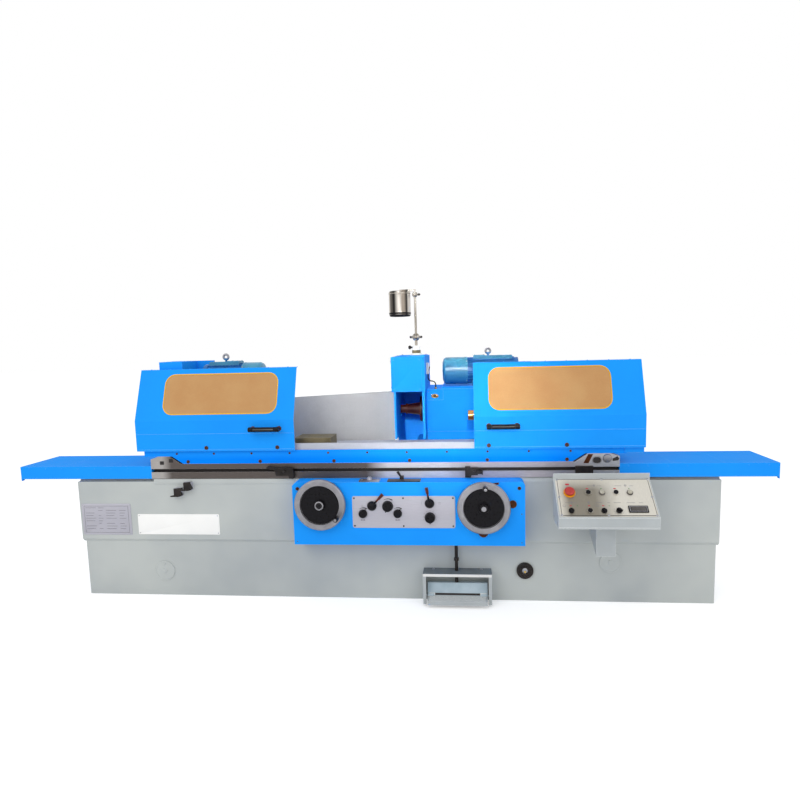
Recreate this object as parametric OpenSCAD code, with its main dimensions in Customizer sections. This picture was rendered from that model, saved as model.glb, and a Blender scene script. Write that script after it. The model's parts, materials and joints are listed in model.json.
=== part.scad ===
/* [Bed] */
// Length of the bed
bed_length = 3908; // [3700:1:4200]
// How far the bed's middle lies to the right of the work axis middle
bed_shift = 34; // [0:1:60]
// Height of the bed's rim above the floor
bed_height = 746; // [700:1:800]
// From the work axis forward to the front of bed and tables
front_reach = 180; // [176:1:190]
// From the work axis back to the rear face of the front bed
back_reach = 250; // [245:1:290]
// Wall thickness of the bed casting
bed_wall = 22; // [15:1:30]
// Height of the plinth below the step
plinth_height = 356; // [300:1:365]
// How far the plinth stands back from the bed's face
plinth_inset = 15; // [8:1:20]
// Number of cross ribs inside the front bed
bed_ribs = 4; // [2:1:8]
// Width of the oil gutter between the ways
gutter_width = 44; // [30:1:48]
// Depth of the oil gutter
gutter_depth = 40; // [25:1:60]
// Width of the wheelhead bed behind the front bed
rear_width = 800; // [780:1:900]
// Depth of the wheelhead bed
rear_depth = 950; // [930:1:1100]
// Height of the wheelhead bed
rear_height = 730; // [700:1:730]

/* [Ways] */
// Width of a vee way at its foot
vee_base = 70; // [60:1:76]
// Width of the flat on top of a vee way
vee_top = 16; // [10:1:24]
// Height of a vee way
vee_height = 40; // [30:1:50]
// Width of a flat way
flat_width = 100; // [70:1:110]
// Running gap between sliding faces
slide_gap = 0.3; // [0.2:0.05:0.5]
// Running gap between a shaft and its bore
shaft_gap = 0.05; // [0.02:0.01:0.1]
// Height of the table's underside above the bed's rim
table_lift = 19; // [12:1:24]

/* [Tables] */
// Length of the lower table
table_length = 2845; // [2700:1:3000]
// Width of the lower table
table_width = 364; // [350:1:366]
// Height of the lower table
table_height = 93; // [85:1:100]
// Height of the mouth of the trip dog slot
slot_mouth = 20; // [14:1:24]
// Depth of the trip dog slot
slot_depth = 30; // [26:1:40]
// Height of the upper table
upper_height = 82; // [76:1:90]
// Length of the upper table
upper_length = 2920; // [2870:1:3000]
// From the middle to the left end of the front strip
strip_left = 1210; // [1190:1:1230]
// From the middle to the right end of the front strip
strip_right = 1155; // [1140:1:1180]
// Height of the rail that the hoods hang on
rail_height = 37; // [30:1:45]

/* [Way covers] */
// Length of each way cover beyond the table's end
cover_length = 880; // [800:1:950]
// Thickness of the way cover's sheet
cover_sheet = 3; // [2:0.5:4]
// Depth of the way cover's skirt
cover_skirt = 80; // [76:1:86]

/* [Splash hoods] */
// Thickness of the hood's sheet
hood_sheet = 3; // [2:0.5:4]
// Left end of the left hood
left_hood_x = -1495; // [-1520:1:-1480]
// Length of the left hood
left_hood_length = 1005; // [960:1:1030]
// Left end of the right hood
right_hood_x = 588; // [575:1:600]
// Length of the right hood
right_hood_length = 974; // [960:1:1030]
// Height of the hood's crease above the table
hood_crease = 190; // [175:1:200]
// Height of the hood above the table
hood_height = 500; // [480:1:520]
// How far the hood leans back above the crease
hood_lean = 120; // [100:1:125]
// Corner radius of the hood's window
window_radius = 62; // [40:1:80]
// Length of the hood's handle
handle_length = 190; // [160:1:210]

/* [Workhead] */
// Height of the work axis above the table
centre_height = 176; // [170:1:190]
// Left end of the workhead casting
workhead_x = -1240; // [-1250:1:-1230]
// Length of the workhead casting
workhead_length = 480; // [450:1:510]
// Radius of the work spindle
work_spindle_r = 30; // [25:1:35]
// Radius of the workhead motor
work_motor_r = 92; // [85:1:94]

/* [Tailstock] */
// Left face of the tailstock
tailstock_x = 620; // [610:1:640]
// Length of the tailstock
tailstock_length = 300; // [280:1:330]
// Radius of the tailstock quill
quill_r = 31; // [26:1:34]
// How far the quill stands out
quill_reach = 66; // [50:1:80]

/* [Wheelhead] */
// Left side of the wheel guard
guard_x = 67; // [60:1:70]
// Width of the wheel guard
guard_width = 217; // [210:1:220]
// From the work axis back to the guard's front
guard_front = 120; // [118:1:126]
// From the work axis back to the wheel axis
wheel_y = 410; // [400:1:420]
// Length of the wheelhead casting
head_length = 620; // [600:1:640]
// Radius of the wheel spindle's journals
wheel_spindle_r = 42; // [36:1:46]
// Radius of the wheelhead motor
wheel_motor_r = 92; // [85:1:94]
// Length of the wheelhead motor
wheel_motor_length = 510; // [480:1:514]

/* [Apron] */
// Left end of the apron box
apron_x = -492; // [-520:1:-488]
// Length of the apron box
apron_length = 1365; // [1355:1:1400]
// Height of the apron box
apron_height = 379; // [370:1:400]
// Depth of the apron box
apron_depth = 110; // [100:1:120]
// Radius of the handwheels
handwheel_r = 152; // [140:1:155]
// Length of the handwheel's grip
grip_length = 62; // [50:1:80]

/* [Console] */
// Left end of the control console
console_x = 1024; // [1010:1:1040]
// Length of the control console
console_length = 521; // [515:1:540]
// Depth of the control console
console_depth = 200; // [190:1:215]
// Slope of the control panel
console_slope = 39; // [36:1:42]
// Radius of the push buttons
button_r = 12.5; // [10:0.5:14]

/* [Lamp] */
// Length of the lamp's arm between its joints
lamp_arm_length = 272; // [240:1:300]
// Radius of the lamp shade
shade_r = 70; // [62:1:74]
// Height of the lamp shade
shade_height = 150; // [135:1:160]

/* [Pedal] */
// Width of the pedal's frame
pedal_width = 408; // [380:1:430]
// Height of the pedal's frame
pedal_height = 188; // [175:1:200]
// Depth of the pedal's frame
pedal_depth = 100; // [92:1:110]

/* [Hidden] */
$fn = 48;

// Colours
CAST_GREY = "#AFB6B6";
BLUE = "#2E9BFF";
STEEL = "#A8A8A8";
DARK = "#2A2422";
BROWN = "#5E2410";
BLACK = "#161412";
MOTOR_BLUE = "#3F9CC6";
PLATE_GREY = "#A9A8AE";

// Planes of the bed and tables
front_y = -front_reach;
bed_left = bed_shift - bed_length / 2;
bed_right = bed_shift + bed_length / 2;
plinth_y = front_y + plinth_inset;
step_height = plinth_inset + 4;
end_inset = 12;
table_z = bed_height + table_lift;
table_top = table_z + table_height;
upper_top = table_top + upper_height;
table_end = table_length / 2;
table_back = front_y + table_width;
axis_z = upper_top + centre_height;
vee_y = front_y + 60;
flat_y = 100;
gutter_y = vee_y + 82;
rear_x = 160;
rear_end = back_reach + rear_depth;
cross_z = rear_height + 30;
cross_vee_x = rear_x + 110;
cross_flat_x = rear_x + rear_width - 110;
slot_z = table_z + 51;
slot_lip = 16;
slot_head = 8;

// Planes of the hood, rail and guard
rail_y = front_y + 14;
rail_thickness = 16;
rail_top = upper_top + rail_height;
hood_y = front_y - 20;
hood_flange = 28;
cover_top = table_top - 14;
bracket_depth = 50;
bracket_top = table_top + 47;
strip_slope = 72;
strip_gap = 15;
head_x = guard_x + guard_width - 4;
head_right = head_x + head_length;
head_front = guard_front + 192;
head_top = axis_z + 140;
head_bottom = axis_z - 146;
head_depth = 430;
head_wall = 30;
slide_front = guard_front + 180;
slide_back = rear_end - 140;
slide_top = head_bottom - 70;
guard_sheet = 4;
guard_bottom = upper_top + 10;
guard_top = head_top + 224;
guard_back = guard_front + 520;
guard_wall_x = guard_x + 15;
cavity_x = [guard_x + 27, guard_x + 198];
spindle_tip = guard_wall_x - 3;
flange_x = cavity_x[1] - 36;
motor_pad = 23;
wheel_motor_x = head_x + 106;
wheel_motor_y = wheel_y + 40;
wheel_motor_z = head_top + motor_pad + wheel_motor_r;
belt_cover_x = [head_right, head_right + 92];
splash_x = [-1360, guard_x - 2];

// Planes of the apron and its controls
apron_z = table_z - 1;
apron_bottom = apron_z - apron_height;
apron_front = front_y - apron_depth;
apron_end = apron_x + apron_length;
apron_wall = 12;
panel_x = [-132, 472];
panel_z = [apron_z - 273, apron_z - 82];
panel_thickness = 3;
panel_front = apron_front - panel_thickness;
wheel_gap = 16;
wheel_left = [-319, apron_z - 127];
wheel_right = [636, apron_z - 145];
grip_radius = handwheel_r - 26;
grip_left = -33;
grip_right = 86;
wheel_face = 38;
shaft_r = 12;
stem_r = 6;

// Planes of the console
console_back = front_y - 150;
console_front = console_back - console_depth;
console_z = apron_bottom + 180;
console_lip = 65;
console_sheet = 3;
seat_length = console_depth / cos(console_slope);
seat_z = console_z + console_lip;
seat_top = seat_z + console_depth * tan(console_slope);
console_top = seat_top + 30;
upper_row = 157;
lower_row = 38;
stop_at = [75, upper_row];
button_at = [for (i = [0:3]) [175 + i * 73.5, upper_row]];
left_selector_at = [71, lower_row];
reset_at = [168, lower_row];
right_selector_at = [241, lower_row];
dial_at = [317, lower_row];
press_stem_r = 4;

// Planes of the workhead and tailstock
work_front = -50;
work_back = 160;
workhead_end = workhead_x + workhead_length;
workhead_top = axis_z + 154;
work_motor_y = 62;
work_motor_z = workhead_top + 17 + work_motor_r;
work_guard_x = [workhead_x - 151, workhead_x];
tailstock_end = tailstock_x + tailstock_length;
quill_end = tailstock_end - 40;

// Planes of the lamp and pedal
lamp_x = guard_x + 158;
lamp_y = guard_front + 100;
lamp_pad = 9;
lamp_ball_r = 25;
lamp_joint_z = guard_top + 125;
shade_joint_z = lamp_joint_z + lamp_arm_length;
shade_ball_r = 18;
shade_x = lamp_x - 100;
shade_top = shade_joint_z + 24;
shade_sheet = 2;
pedal_x = 272;
pedal_z = 12;
pedal_sheet = 8;
pedal_top = pedal_z + pedal_height;
treadle_y = plinth_y - 65;
treadle_z = pedal_z + 43;
treadle_gap = 16;
rod_x = 472;
rod_y = treadle_y + 27;
rod_r = 10;
treadle_top = treadle_z + 72;

// Places shared by pieces and their seats
gauge_at = [bed_right - 1107, 190];
plate_controls = [[117, 133], [456, 148], [62, 85], [268, 86], [210, 131], [457, 63]];
press_controls = concat(button_at, [reset_at]);
turn_controls = [left_selector_at, right_selector_at, dial_at];
clamp_at = [wheel_right[0] + 26, apron_z - 14];
clamp_block_x = -90;
reverse_x = 160;
reverse_y = apron_front + 44;
reverse_z = apron_z + 6;
pivot_r = 20;
pivot_depth = 25;
left_dog_x = -672;
right_dog_x = 532;
strip_thickness = 4;
left_hood_span = [left_hood_x, left_hood_x + left_hood_length];
right_hood_span = [right_hood_x, right_hood_x + right_hood_length];
left_margins = [170, 110];
right_margins = [88, 180];
lever_x = tailstock_x + 210;
motor_shaft_r = 19;
boss_reach = 50;
boss_r = 53;
upper_back = 150;
rail_half = upper_length / 2 - 20;

// A box between two limits on each axis
module block(x, y, z) {
  translate([x[0], y[0], z[0]]) cube([x[1] - x[0], y[1] - y[0], z[1] - z[0]]);
}

// Round bars along each axis
module bar_x(x, y, z, r) {
  translate([x[0], y, z]) rotate([0, 90, 0]) cylinder(h = x[1] - x[0], r = r);
}
module bar_y(x, y, z, r) {
  translate([x, y[1], z]) rotate([90, 0, 0]) cylinder(h = y[1] - y[0], r = r);
}
module bar_z(x, y, z, r) {
  translate([x, y, z[0]]) cylinder(h = z[1] - z[0], r = r);
}

// An outline drawn across an axis and drawn out along it
module along_x(x) {
  translate([x[0], 0, 0]) rotate([90, 0, 90]) linear_extrude(x[1] - x[0]) children();
}
module along_y(y) {
  translate([0, y[1], 0]) rotate([90, 0, 0]) linear_extrude(y[1] - y[0]) children();
}
module along_z(z) {
  translate([0, 0, z[0]]) linear_extrude(z[1] - z[0]) children();
}

// A turned piece whose axis points up, to the right, or to the front
module turned_z(x, y, z) {
  translate([x, y, z]) rotate_extrude() children();
}
module turned_x(x, y, z) {
  translate([x, y, z]) rotate([0, 90, 0]) rotate_extrude() children();
}
module turned_front(x, y, z) {
  translate([x, y, z]) rotate([90, 0, 0]) rotate_extrude() children();
}

// A rectangle with true round corners
module rounded(a, b, r) {
  translate([a[0] + r, b[0]]) square([a[1] - a[0] - 2 * r, b[1] - b[0]]);
  translate([a[0], b[0] + r]) square([a[1] - a[0], b[1] - b[0] - 2 * r]);
  for (u = [a[0] + r, a[1] - r], v = [b[0] + r, b[1] - r]) translate([u, v]) circle(r);
}

// The section of a vee way, grown all round by a gap
module vee(mid, foot, gap = 0) {
  run = (vee_base - vee_top) / 2;
  side = gap * sqrt(run * run + vee_height * vee_height) / vee_height;
  low = vee_base / 2 + side;
  high = vee_top / 2 + side - gap * run / vee_height;
  polygon([
    [mid - low, foot], [mid + low, foot],
    [mid + high, foot + vee_height + gap], [mid - high, foot + vee_height + gap]
  ]);
}

// ---- Bed and what is fixed to it ----

// Hollow bed with its ways, gutter and the bed for the wheelhead behind it
module bed_casting() {
  inner = [bed_left + end_inset + bed_wall, bed_right - end_inset - bed_wall];
  bay = (inner[1] - inner[0] - bed_ribs * bed_wall) / (bed_ribs + 1);
  color(CAST_GREY) difference() {
    union() {
      along_x([bed_left, bed_right]) {
        polygon([
          [plinth_y, 0], [back_reach, 0], [back_reach, bed_height], [front_y, bed_height],
          [front_y, plinth_height + step_height], [plinth_y, plinth_height]
        ]);
        vee(vee_y, bed_height);
        translate([flat_y - flat_width / 2, bed_height]) square([flat_width, table_lift - slide_gap]);
      }
      block([rear_x, rear_x + rear_width], [back_reach - bed_wall, rear_end], [0, rear_height]);
      along_y([back_reach, rear_end]) {
        translate([cross_vee_x - vee_base / 2, rear_height]) square([vee_base, cross_z - rear_height]);
        vee(cross_vee_x, cross_z);
        translate([cross_flat_x - flat_width / 2, rear_height])
          square([flat_width, cross_z - rear_height - slide_gap]);
      }
    }
    for (x = [bed_left - 1, bed_right - end_inset])
      block([x, x + end_inset + 1], [plinth_y - 1, back_reach + 1], [-1, plinth_height]);
    block(
      [bed_left - 1, bed_right + 1],
      [gutter_y - gutter_width / 2, gutter_y + gutter_width / 2],
      [bed_height - gutter_depth, bed_height + 1]
    );
    for (i = [0:bed_ribs])
      block(
        [inner[0] + i * (bay + bed_wall), inner[0] + i * (bay + bed_wall) + bay],
        [plinth_y + bed_wall, back_reach - bed_wall],
        [bed_wall, bed_height - gutter_depth - bed_wall]
      );
    block(
      [rear_x + bed_wall, rear_x + rear_width - bed_wall],
      [back_reach, rear_end - bed_wall],
      [bed_wall, rear_height - bed_wall]
    );
  }
}

// Round covers, oil gauge, blank plates and wrench hooks on the bed's front
module bed_fittings() {
  color(PLATE_GREY) {
    for (at = [[bed_left + 531, 163], [bed_right - 606, 246]]) {
      bar_y(at[0], [plinth_y - 4, plinth_y], at[1], 63);
      bar_y(at[0], [plinth_y - 8, plinth_y - 4], at[1] + 46, 6);
    }
    difference() {
      bar_y(gauge_at[0], [plinth_y - 12, plinth_y], gauge_at[1], 50);
      bar_y(gauge_at[0], [plinth_y - 13, plinth_y - 6], gauge_at[1], 19);
    }
    along_y([front_y - 2, front_y]) {
      rounded([bed_left + 14, bed_left + 277], [bed_height - 342, bed_height - 144], 6);
      rounded([bed_left + 386, bed_left + 916], [bed_height - 338, bed_height - 211], 6);
    }
  }
  color(BLACK) for (at = [[bed_left + 661, bed_height - 73], [bed_left + 726, bed_height - 35]]) {
    block([at[0] - 10, at[0] + 36], [front_y - 34, front_y], [at[1] - 9, at[1] + 36]);
    along_z([at[1] - 16, at[1] - 9]) polygon([
      [at[0] - 10, front_y], [at[0] - 32, front_y - 38], [at[0] + 20, front_y - 36], [at[0] + 36, front_y]
    ]);
  }
}

// Closed gearbox on the bed's front, bored for its shafts
module apron_housing() {
  corner = 26;
  chamfer = 20;
  ceiling = 34;
  color(BLUE) difference() {
    along_y([apron_front, front_y]) {
      polygon([
        [apron_x, apron_bottom], [apron_end, apron_bottom], [apron_end, apron_z - corner],
        [apron_end - corner, apron_z], [apron_x + chamfer, apron_z], [apron_x, apron_z - chamfer]
      ]);
      translate([apron_end - corner, apron_z - corner]) circle(corner);
    }
    block(
      [apron_x + apron_wall, apron_end - apron_wall],
      [apron_front + apron_wall, front_y - apron_wall],
      [apron_bottom + apron_wall, apron_z - ceiling]
    );
    for (at = [wheel_left, wheel_right]) apron_bore(at, shaft_r);
    for (at = plate_controls) apron_bore(on_plate(at), stem_r);
    apron_bore(clamp_at, stem_r);
    bar_z(rod_x, rod_y, [apron_bottom - 1, apron_bottom + apron_wall + 1], rod_r + shaft_gap);
  }
}
module apron_bore(at, r) {
  bar_y(at[0], [panel_front - 1, apron_front + apron_wall + 10], at[1], r + shaft_gap);
}
function on_plate(at) = [panel_x[0] + at[0], panel_z[0] + at[1]];

// Control plate with its screws, clamp block and the reversing lever's plate
module apron_plates() {
  color(PLATE_GREY) {
    difference() {
      along_y([panel_front, apron_front]) rounded(panel_x, panel_z, 12);
      for (at = plate_controls) apron_bore(on_plate(at), stem_r);
    }
    for (x = [panel_x[0] + 12, (panel_x[0] + panel_x[1]) / 2, panel_x[1] - 12])
      for (z = [panel_z[0] + 12, panel_z[1] - 12])
        bar_y(x, [panel_front - 2, panel_front], z, 5);
    block([clamp_block_x, clamp_block_x + 120], [apron_front + 6, front_y - 44], [apron_z, apron_z + 8]);
    bar_z(clamp_block_x + 60, apron_front + 36, [apron_z + 8, apron_z + 20], 15);
  }
  color(DARK) {
    block([reverse_x - 82, reverse_x + 112], [apron_front + 4, front_y - 44], [apron_z, reverse_z]);
    difference() {
      block([reverse_x - 12, reverse_x + 12], [reverse_y, reverse_y + 14], [reverse_z, reverse_z + 22]);
      bar_y(reverse_x, [reverse_y - 1, reverse_y + 15], reverse_z + 12, 5 + shaft_gap);
    }
  }
}

// Screws and blanking caps on the apron's face
module apron_plugs() {
  color(BROWN) {
    for (x = [apron_x + 33, apron_end - 33]) bar_y(x, [apron_front - 5, apron_front], apron_z - 37, 10);
    bar_y(wheel_right[0] - 3, [apron_front - 11, apron_front], wheel_right[1] - handwheel_r, 28);
    bar_y(wheel_right[0] + handwheel_r + 14, [apron_front - 11, apron_front], wheel_right[1] + 16, 22);
  }
}

// Places a piece on the sloping seat of the console
module on_seat(at) {
  translate([console_x + at[0], console_front, seat_z]) rotate([console_slope, 0, 0])
    translate([0, at[1], 0]) children();
}

// Sheet console with its arm to the bed
module console_box() {
  t = console_sheet;
  drop = t / cos(console_slope);
  arm_x = console_x + 228;
  color("#C3C6C6") {
    difference() {
      along_x([console_x, console_x + console_length]) polygon([
        [console_back, console_z], [console_front, console_z], [console_front, seat_z],
        [console_back - t, seat_top - t * tan(console_slope)], [console_back - t, console_top],
        [console_back, console_top]
      ]);
      along_x([console_x + t, console_x + console_length - t]) polygon([
        [console_back - t, console_z + t], [console_front + t, console_z + t],
        [console_front + t, seat_z + t * tan(console_slope) - drop],
        [console_back - t, seat_top - t * tan(console_slope) - drop]
      ]);
      on_seat([20, 14]) translate([0, 0, -drop - 4])
        cube([console_length - 40, seat_length - 34, drop + 8]);
    }
    along_x([arm_x, arm_x + 105]) polygon([
      [front_y, console_z - 115], [console_back - 50, console_z - 205], [console_back - 50, console_z],
      [console_back, console_z], [console_back, console_z + 130], [front_y, console_z + 130]
    ]);
  }
}

// Control panel with its screws, bezels and number display
module console_panel() {
  top = panel_thickness;
  color("#C9C3B2") {
    difference() {
      on_seat([0, 0]) along_z([0, top]) rounded([8, console_length - 8], [4, seat_length - 8], 4);
      for (at = press_controls) on_seat(at) bar_z(0, 0, [-1, top + 1], press_stem_r + shaft_gap);
      for (at = turn_controls) on_seat(at) bar_z(0, 0, [-1, top + 1], stem_r + shaft_gap);
      on_seat(stop_at) bar_z(0, 0, [-1, top + 1], stem_r + shaft_gap);
    }
    for (at = press_controls) on_seat(at) difference() {
      bar_z(0, 0, [top, top + 6], button_r + 4);
      bar_z(0, 0, [top - 1, top + 7], button_r + slide_gap);
    }
    on_seat(stop_at) difference() {
      bar_z(0, 0, [top, top + 6], 32);
      bar_z(0, 0, [top - 1, top + 7], stem_r + 1);
    }
    for (x = [14, console_length / 2, console_length - 14], y = [10, seat_length - 14])
      on_seat([x, y]) bar_z(0, 0, [top, top + 2], 4);
    on_seat([368, lower_row - 10]) along_z([top, top + 5]) rounded([0, 101], [0, 42], 3);
  }
}

// Frame over the foot pedal, with the two pins that the treadle turns on
module pedal_frame() {
  sides = [pedal_x, pedal_x + pedal_width];
  depth = [plinth_y - pedal_depth, plinth_y];
  color("#C6C9C8") {
    difference() {
      block(sides, depth, [pedal_z, pedal_top]);
      block(
        [sides[0] + pedal_sheet, sides[1] - pedal_sheet],
        [depth[0] - 1, depth[1] + 1],
        [pedal_z - 1, pedal_top - pedal_sheet]
      );
      bar_z(rod_x, rod_y, [pedal_top - pedal_sheet - 1, pedal_top + 1], rod_r + slide_gap);
    }
    bar_x([sides[0] + pedal_sheet - 1, sides[0] + treadle_gap + 24], treadle_y, treadle_z, stem_r);
    bar_x([sides[1] - treadle_gap - 24, sides[1] - pedal_sheet + 1], treadle_y, treadle_z, stem_r);
  }
}

// Flat sheet behind the tables, bolted to the bed's back
module splash_back() {
  color("#BDBDBD") along_y([back_reach, back_reach + 3]) polygon([
    [splash_x[0], bed_height - 46], [splash_x[1], bed_height - 46],
    [splash_x[1], upper_top + 314], [splash_x[0], upper_top + 251]
  ]);
}

// ---- Tables ----

// Lower table with its way grooves, trip dog slot, pivot bore and end brackets
module lower_table() {
  outer = table_end - 52;
  shoulder = bracket_top - 18;
  color(STEEL) difference() {
    union() {
      along_x([-table_end, table_end]) difference() {
        translate([front_y, table_z]) square([table_width, table_height]);
        vee(vee_y, bed_height, slide_gap);
        translate([front_y - 1, slot_z - slot_mouth / 2]) square([slot_lip + 2, slot_mouth]);
        translate([front_y + slot_lip, slot_z - slot_mouth / 2 - slot_head])
          square([slot_depth - slot_lip, slot_mouth + 2 * slot_head]);
      }
      along_y([front_y, front_y + bracket_depth]) {
        polygon([
          [-table_end, table_top], [-strip_left - strip_gap, table_top],
          [-strip_left - strip_gap - strip_slope, bracket_top], [-outer, bracket_top], [-table_end, shoulder]
        ]);
        polygon([
          [table_end, table_top], [table_end, shoulder], [outer, bracket_top],
          [strip_right + strip_gap + strip_slope, bracket_top], [strip_right + strip_gap, table_top]
        ]);
      }
      block([strip_right + 16, strip_right + 116], [front_y - 16, front_y], [slot_z - 31, slot_z + 17]);
    }
    bar_z(0, 0, [table_top - pivot_depth - 1, table_top + 1], pivot_r + shaft_gap);
  }
}

// Sheet covers that slide over the bed's ends with the table
module way_covers() {
  color(BLUE) {
    way_cover();
    mirror([1, 0, 0]) way_cover();
  }
}
module way_cover() {
  x = [table_end, table_end + cover_length];
  y = [front_y + 1, table_back];
  z = [cover_top - cover_skirt, cover_top];
  t = cover_sheet;
  block(x, y, [z[1] - t, z[1]]);
  block(x, [y[0], y[0] + t], z);
  block(x, [y[1] - t, y[1]], z);
  block([x[0], x[0] + t], y, [bed_height + vee_height + 8, z[1]]);
  block([x[0] + t, x[1]], [gutter_y - t / 2, gutter_y + t / 2], [bed_height - 11, z[1]]);
  along_x([x[1] - t, x[1]]) difference() {
    translate([y[0], bed_height + 6]) square([y[1] - y[0], z[1] - bed_height - 6]);
    vee(vee_y, bed_height, 6);
    translate([flat_y - flat_width / 2 - 8, bed_height]) square([flat_width + 16, table_lift + 6]);
  }
}

// Trip dog held in the table's slot by its tee, drawn from the slot's middle
module trip_dog(x, outline, foot, bolt) {
  tee = slot_mouth / 2 - slide_gap;
  held = [x + foot[0], x + foot[1]];
  color(DARK) {
    along_y([front_y - 30, front_y - slide_gap]) translate([x, slot_z]) polygon(outline);
    block(
      held, [front_y - slide_gap - 1, front_y + slot_lip + 1], [slot_z - tee, slot_z + tee]
    );
    block(
      held, [front_y + slot_lip + slide_gap, front_y + slot_depth - slide_gap],
      [slot_z - tee - slot_head, slot_z + tee + slot_head]
    );
    bar_y(x + bolt, [front_y - 38, front_y - 30], slot_z - 2, 9);
  }
}
module left_trip_dog() {
  trip_dog(left_dog_x, [
    [0, 16], [54, 4], [56, -24], [62, -30], [136, -30], [140, -48], [166, -48], [168, -22],
    [164, 14], [120, 22], [72, 18], [4, 26]
  ], [66, 154], 110);
}
module right_trip_dog() {
  trip_dog(right_dog_x, [
    [0, -44], [33, -44], [38, -31], [75, -31], [75, -24], [97, -24], [97, -28], [104, -28],
    [104, -6], [97, -6], [97, -10], [75, -10], [75, 14], [33, 14], [30, 20], [0, 20]
  ], [8, 66], 54);
}

// Upper table that swivels on its pin, and the rail for the hoods
module upper_table() {
  low = table_top + slide_gap;
  mid = bracket_top + slide_gap;
  front = front_y + strip_thickness;
  color(STEEL) {
    block([-strip_left, strip_right], [front, upper_back], [low, upper_top]);
    block([-table_end, table_end], [-50, upper_back], [low, upper_top]);
    block([-upper_length / 2, upper_length / 2], [front, upper_back], [mid, upper_top]);
    block([-rail_half, rail_half], [rail_y, rail_y + rail_thickness], [upper_top, rail_top]);
    bar_z(0, 0, [table_top - pivot_depth, low + 1], pivot_r);
  }
}

// Painted strip along the upper table's front
module front_strip() {
  low = table_top + slide_gap;
  mid = bracket_top + slide_gap;
  half = upper_length / 2;
  color(BLUE) along_y([front_y, front_y + strip_thickness]) polygon([
    [-strip_left, low], [strip_right, low], [strip_right + strip_slope, mid], [half, mid],
    [half, upper_top], [-half, upper_top], [-half, mid], [-strip_left - strip_slope, mid]
  ]);
}

// Slotted steel block for a steady rest
module steady_base() {
  x = [left_hood_x + left_hood_length - 25, left_hood_x + left_hood_length + 200];
  color("#7D735C") difference() {
    block(x, [-105, 60], [upper_top, upper_top + 60]);
    block([x[0] + 60, x[1] - 60], [-28, -16], [upper_top + 50, upper_top + 61]);
  }
}

// ---- Workhead and tailstock ----

// Finned motor lying along X: shaft end at x, fan at the far end, lifting eye a distance from x
module motor(x, y, z, length, r, foot, lift) {
  fan = length / 3;
  bell = 26;
  translate([x, y, z]) {
    bar_x([0, bell], 0, 0, r - 8);
    translate([bell, 0, 0]) along_x([0, length - fan - bell]) {
      circle(r - 12);
      for (i = [0:17]) rotate(i * 20) translate([0, -2]) square([r - 2, 4]);
    }
    turned_x(length - fan, 0, 0)
      polygon([[0, 0], [r, 0], [r, fan - 22], [r - 8, fan - 8], [r - 30, fan], [0, fan]]);
    block([bell + 30, length - fan - 30], [-r + 10, r - 10], [-r - foot, -r + 22]);
    block([bell + 14, lift + 100], [-45, 45], [r - 20, r + 8]);
    bar_z(lift, 0, [r - 14, r + 22], 7);
    translate([lift, 0, r + 38]) rotate([90, 0, 0]) rotate_extrude()
      translate([16, 0]) circle(7);
  }
}

// Workhead casting bored for the work spindle
module workhead_housing() {
  base = 45;
  wall = 30;
  color(BLUE) difference() {
    union() {
      block([workhead_x, workhead_end], [work_front, work_back], [upper_top, upper_top + base]);
      block(
        [workhead_x, workhead_end - 20], [work_front, work_back - 10],
        [upper_top + base, workhead_top]
      );
      block(
        [workhead_x + 150, workhead_end - 60], [work_motor_y - 70, work_motor_y + 70],
        [workhead_top, workhead_top + 10]
      );
    }
    block(
      [workhead_x + 2 * wall, workhead_end - 20 - 2 * wall],
      [work_front + wall / 2, work_back - wall],
      [upper_top + base + wall / 2, workhead_top - wall / 2]
    );
    bar_x([workhead_x - 1, workhead_end + 1], 0, axis_z, work_spindle_r + shaft_gap);
  }
}

module workhead_motor() {
  color(MOTOR_BLUE)
    motor(workhead_x + 110, work_motor_y, work_motor_z, workhead_length - 95, work_motor_r, 7, 134);
}

// Sheet box round the workhead's belt, with the plate behind the motor
module workhead_belt_guard() {
  t = 3;
  y = [work_front, work_back + 14];
  z = [upper_top + 45, work_motor_z + work_motor_r + 16];
  color(BLUE) {
    difference() {
      block(work_guard_x, y, z);
      block(
        [work_guard_x[0] + t, work_guard_x[1] - t], [y[0] + t, y[1] - t], [z[0] + t, z[1] - t]
      );
      bar_x([work_guard_x[1] - t - 1, work_guard_x[1] + 1], 0, axis_z, work_spindle_r + 4);
    }
    block([work_guard_x[1], work_guard_x[1] + 117], [y[1] - 16, y[1]], [work_motor_z - 100, z[1]]);
  }
}

// Work spindle with its pulley, nose, driving plate and centre
module work_spindle() {
  x0 = work_guard_x[0] + 30;
  nose = workhead_end - x0;
  r = work_spindle_r;
  color(STEEL) turned_x(x0, 0, axis_z) polygon([
    [0, 0], [r + 12, 0], [r + 12, 60], [r, 60], [r, nose + 3], [70, nose + 3], [70, nose + 22],
    [88, nose + 22], [88, nose + 40], [22, nose + 40], [22, nose + 62], [14, nose + 64], [0, nose + 96]
  ]);
}

// Tailstock casting bored for the quill and its lever
module tailstock_body() {
  x = [tailstock_x, tailstock_end];
  low = upper_top + slide_gap;
  color(BLUE) difference() {
    union() {
      block(x, [-95, 105], [low, low + 60]);
      block([x[0] + 20, x[1] - 10], [-52, 60], [low + 59, axis_z]);
      bar_x(x, 0, axis_z, quill_r + 27);
      bar_y(lever_x, [-82, -30], axis_z, 20);
    }
    bar_x([x[0] - 1, quill_end + 35], 0, axis_z, quill_r + shaft_gap);
    bar_y(lever_x, [-83, -quill_r - 5], axis_z, 8 + shaft_gap);
  }
}

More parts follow.
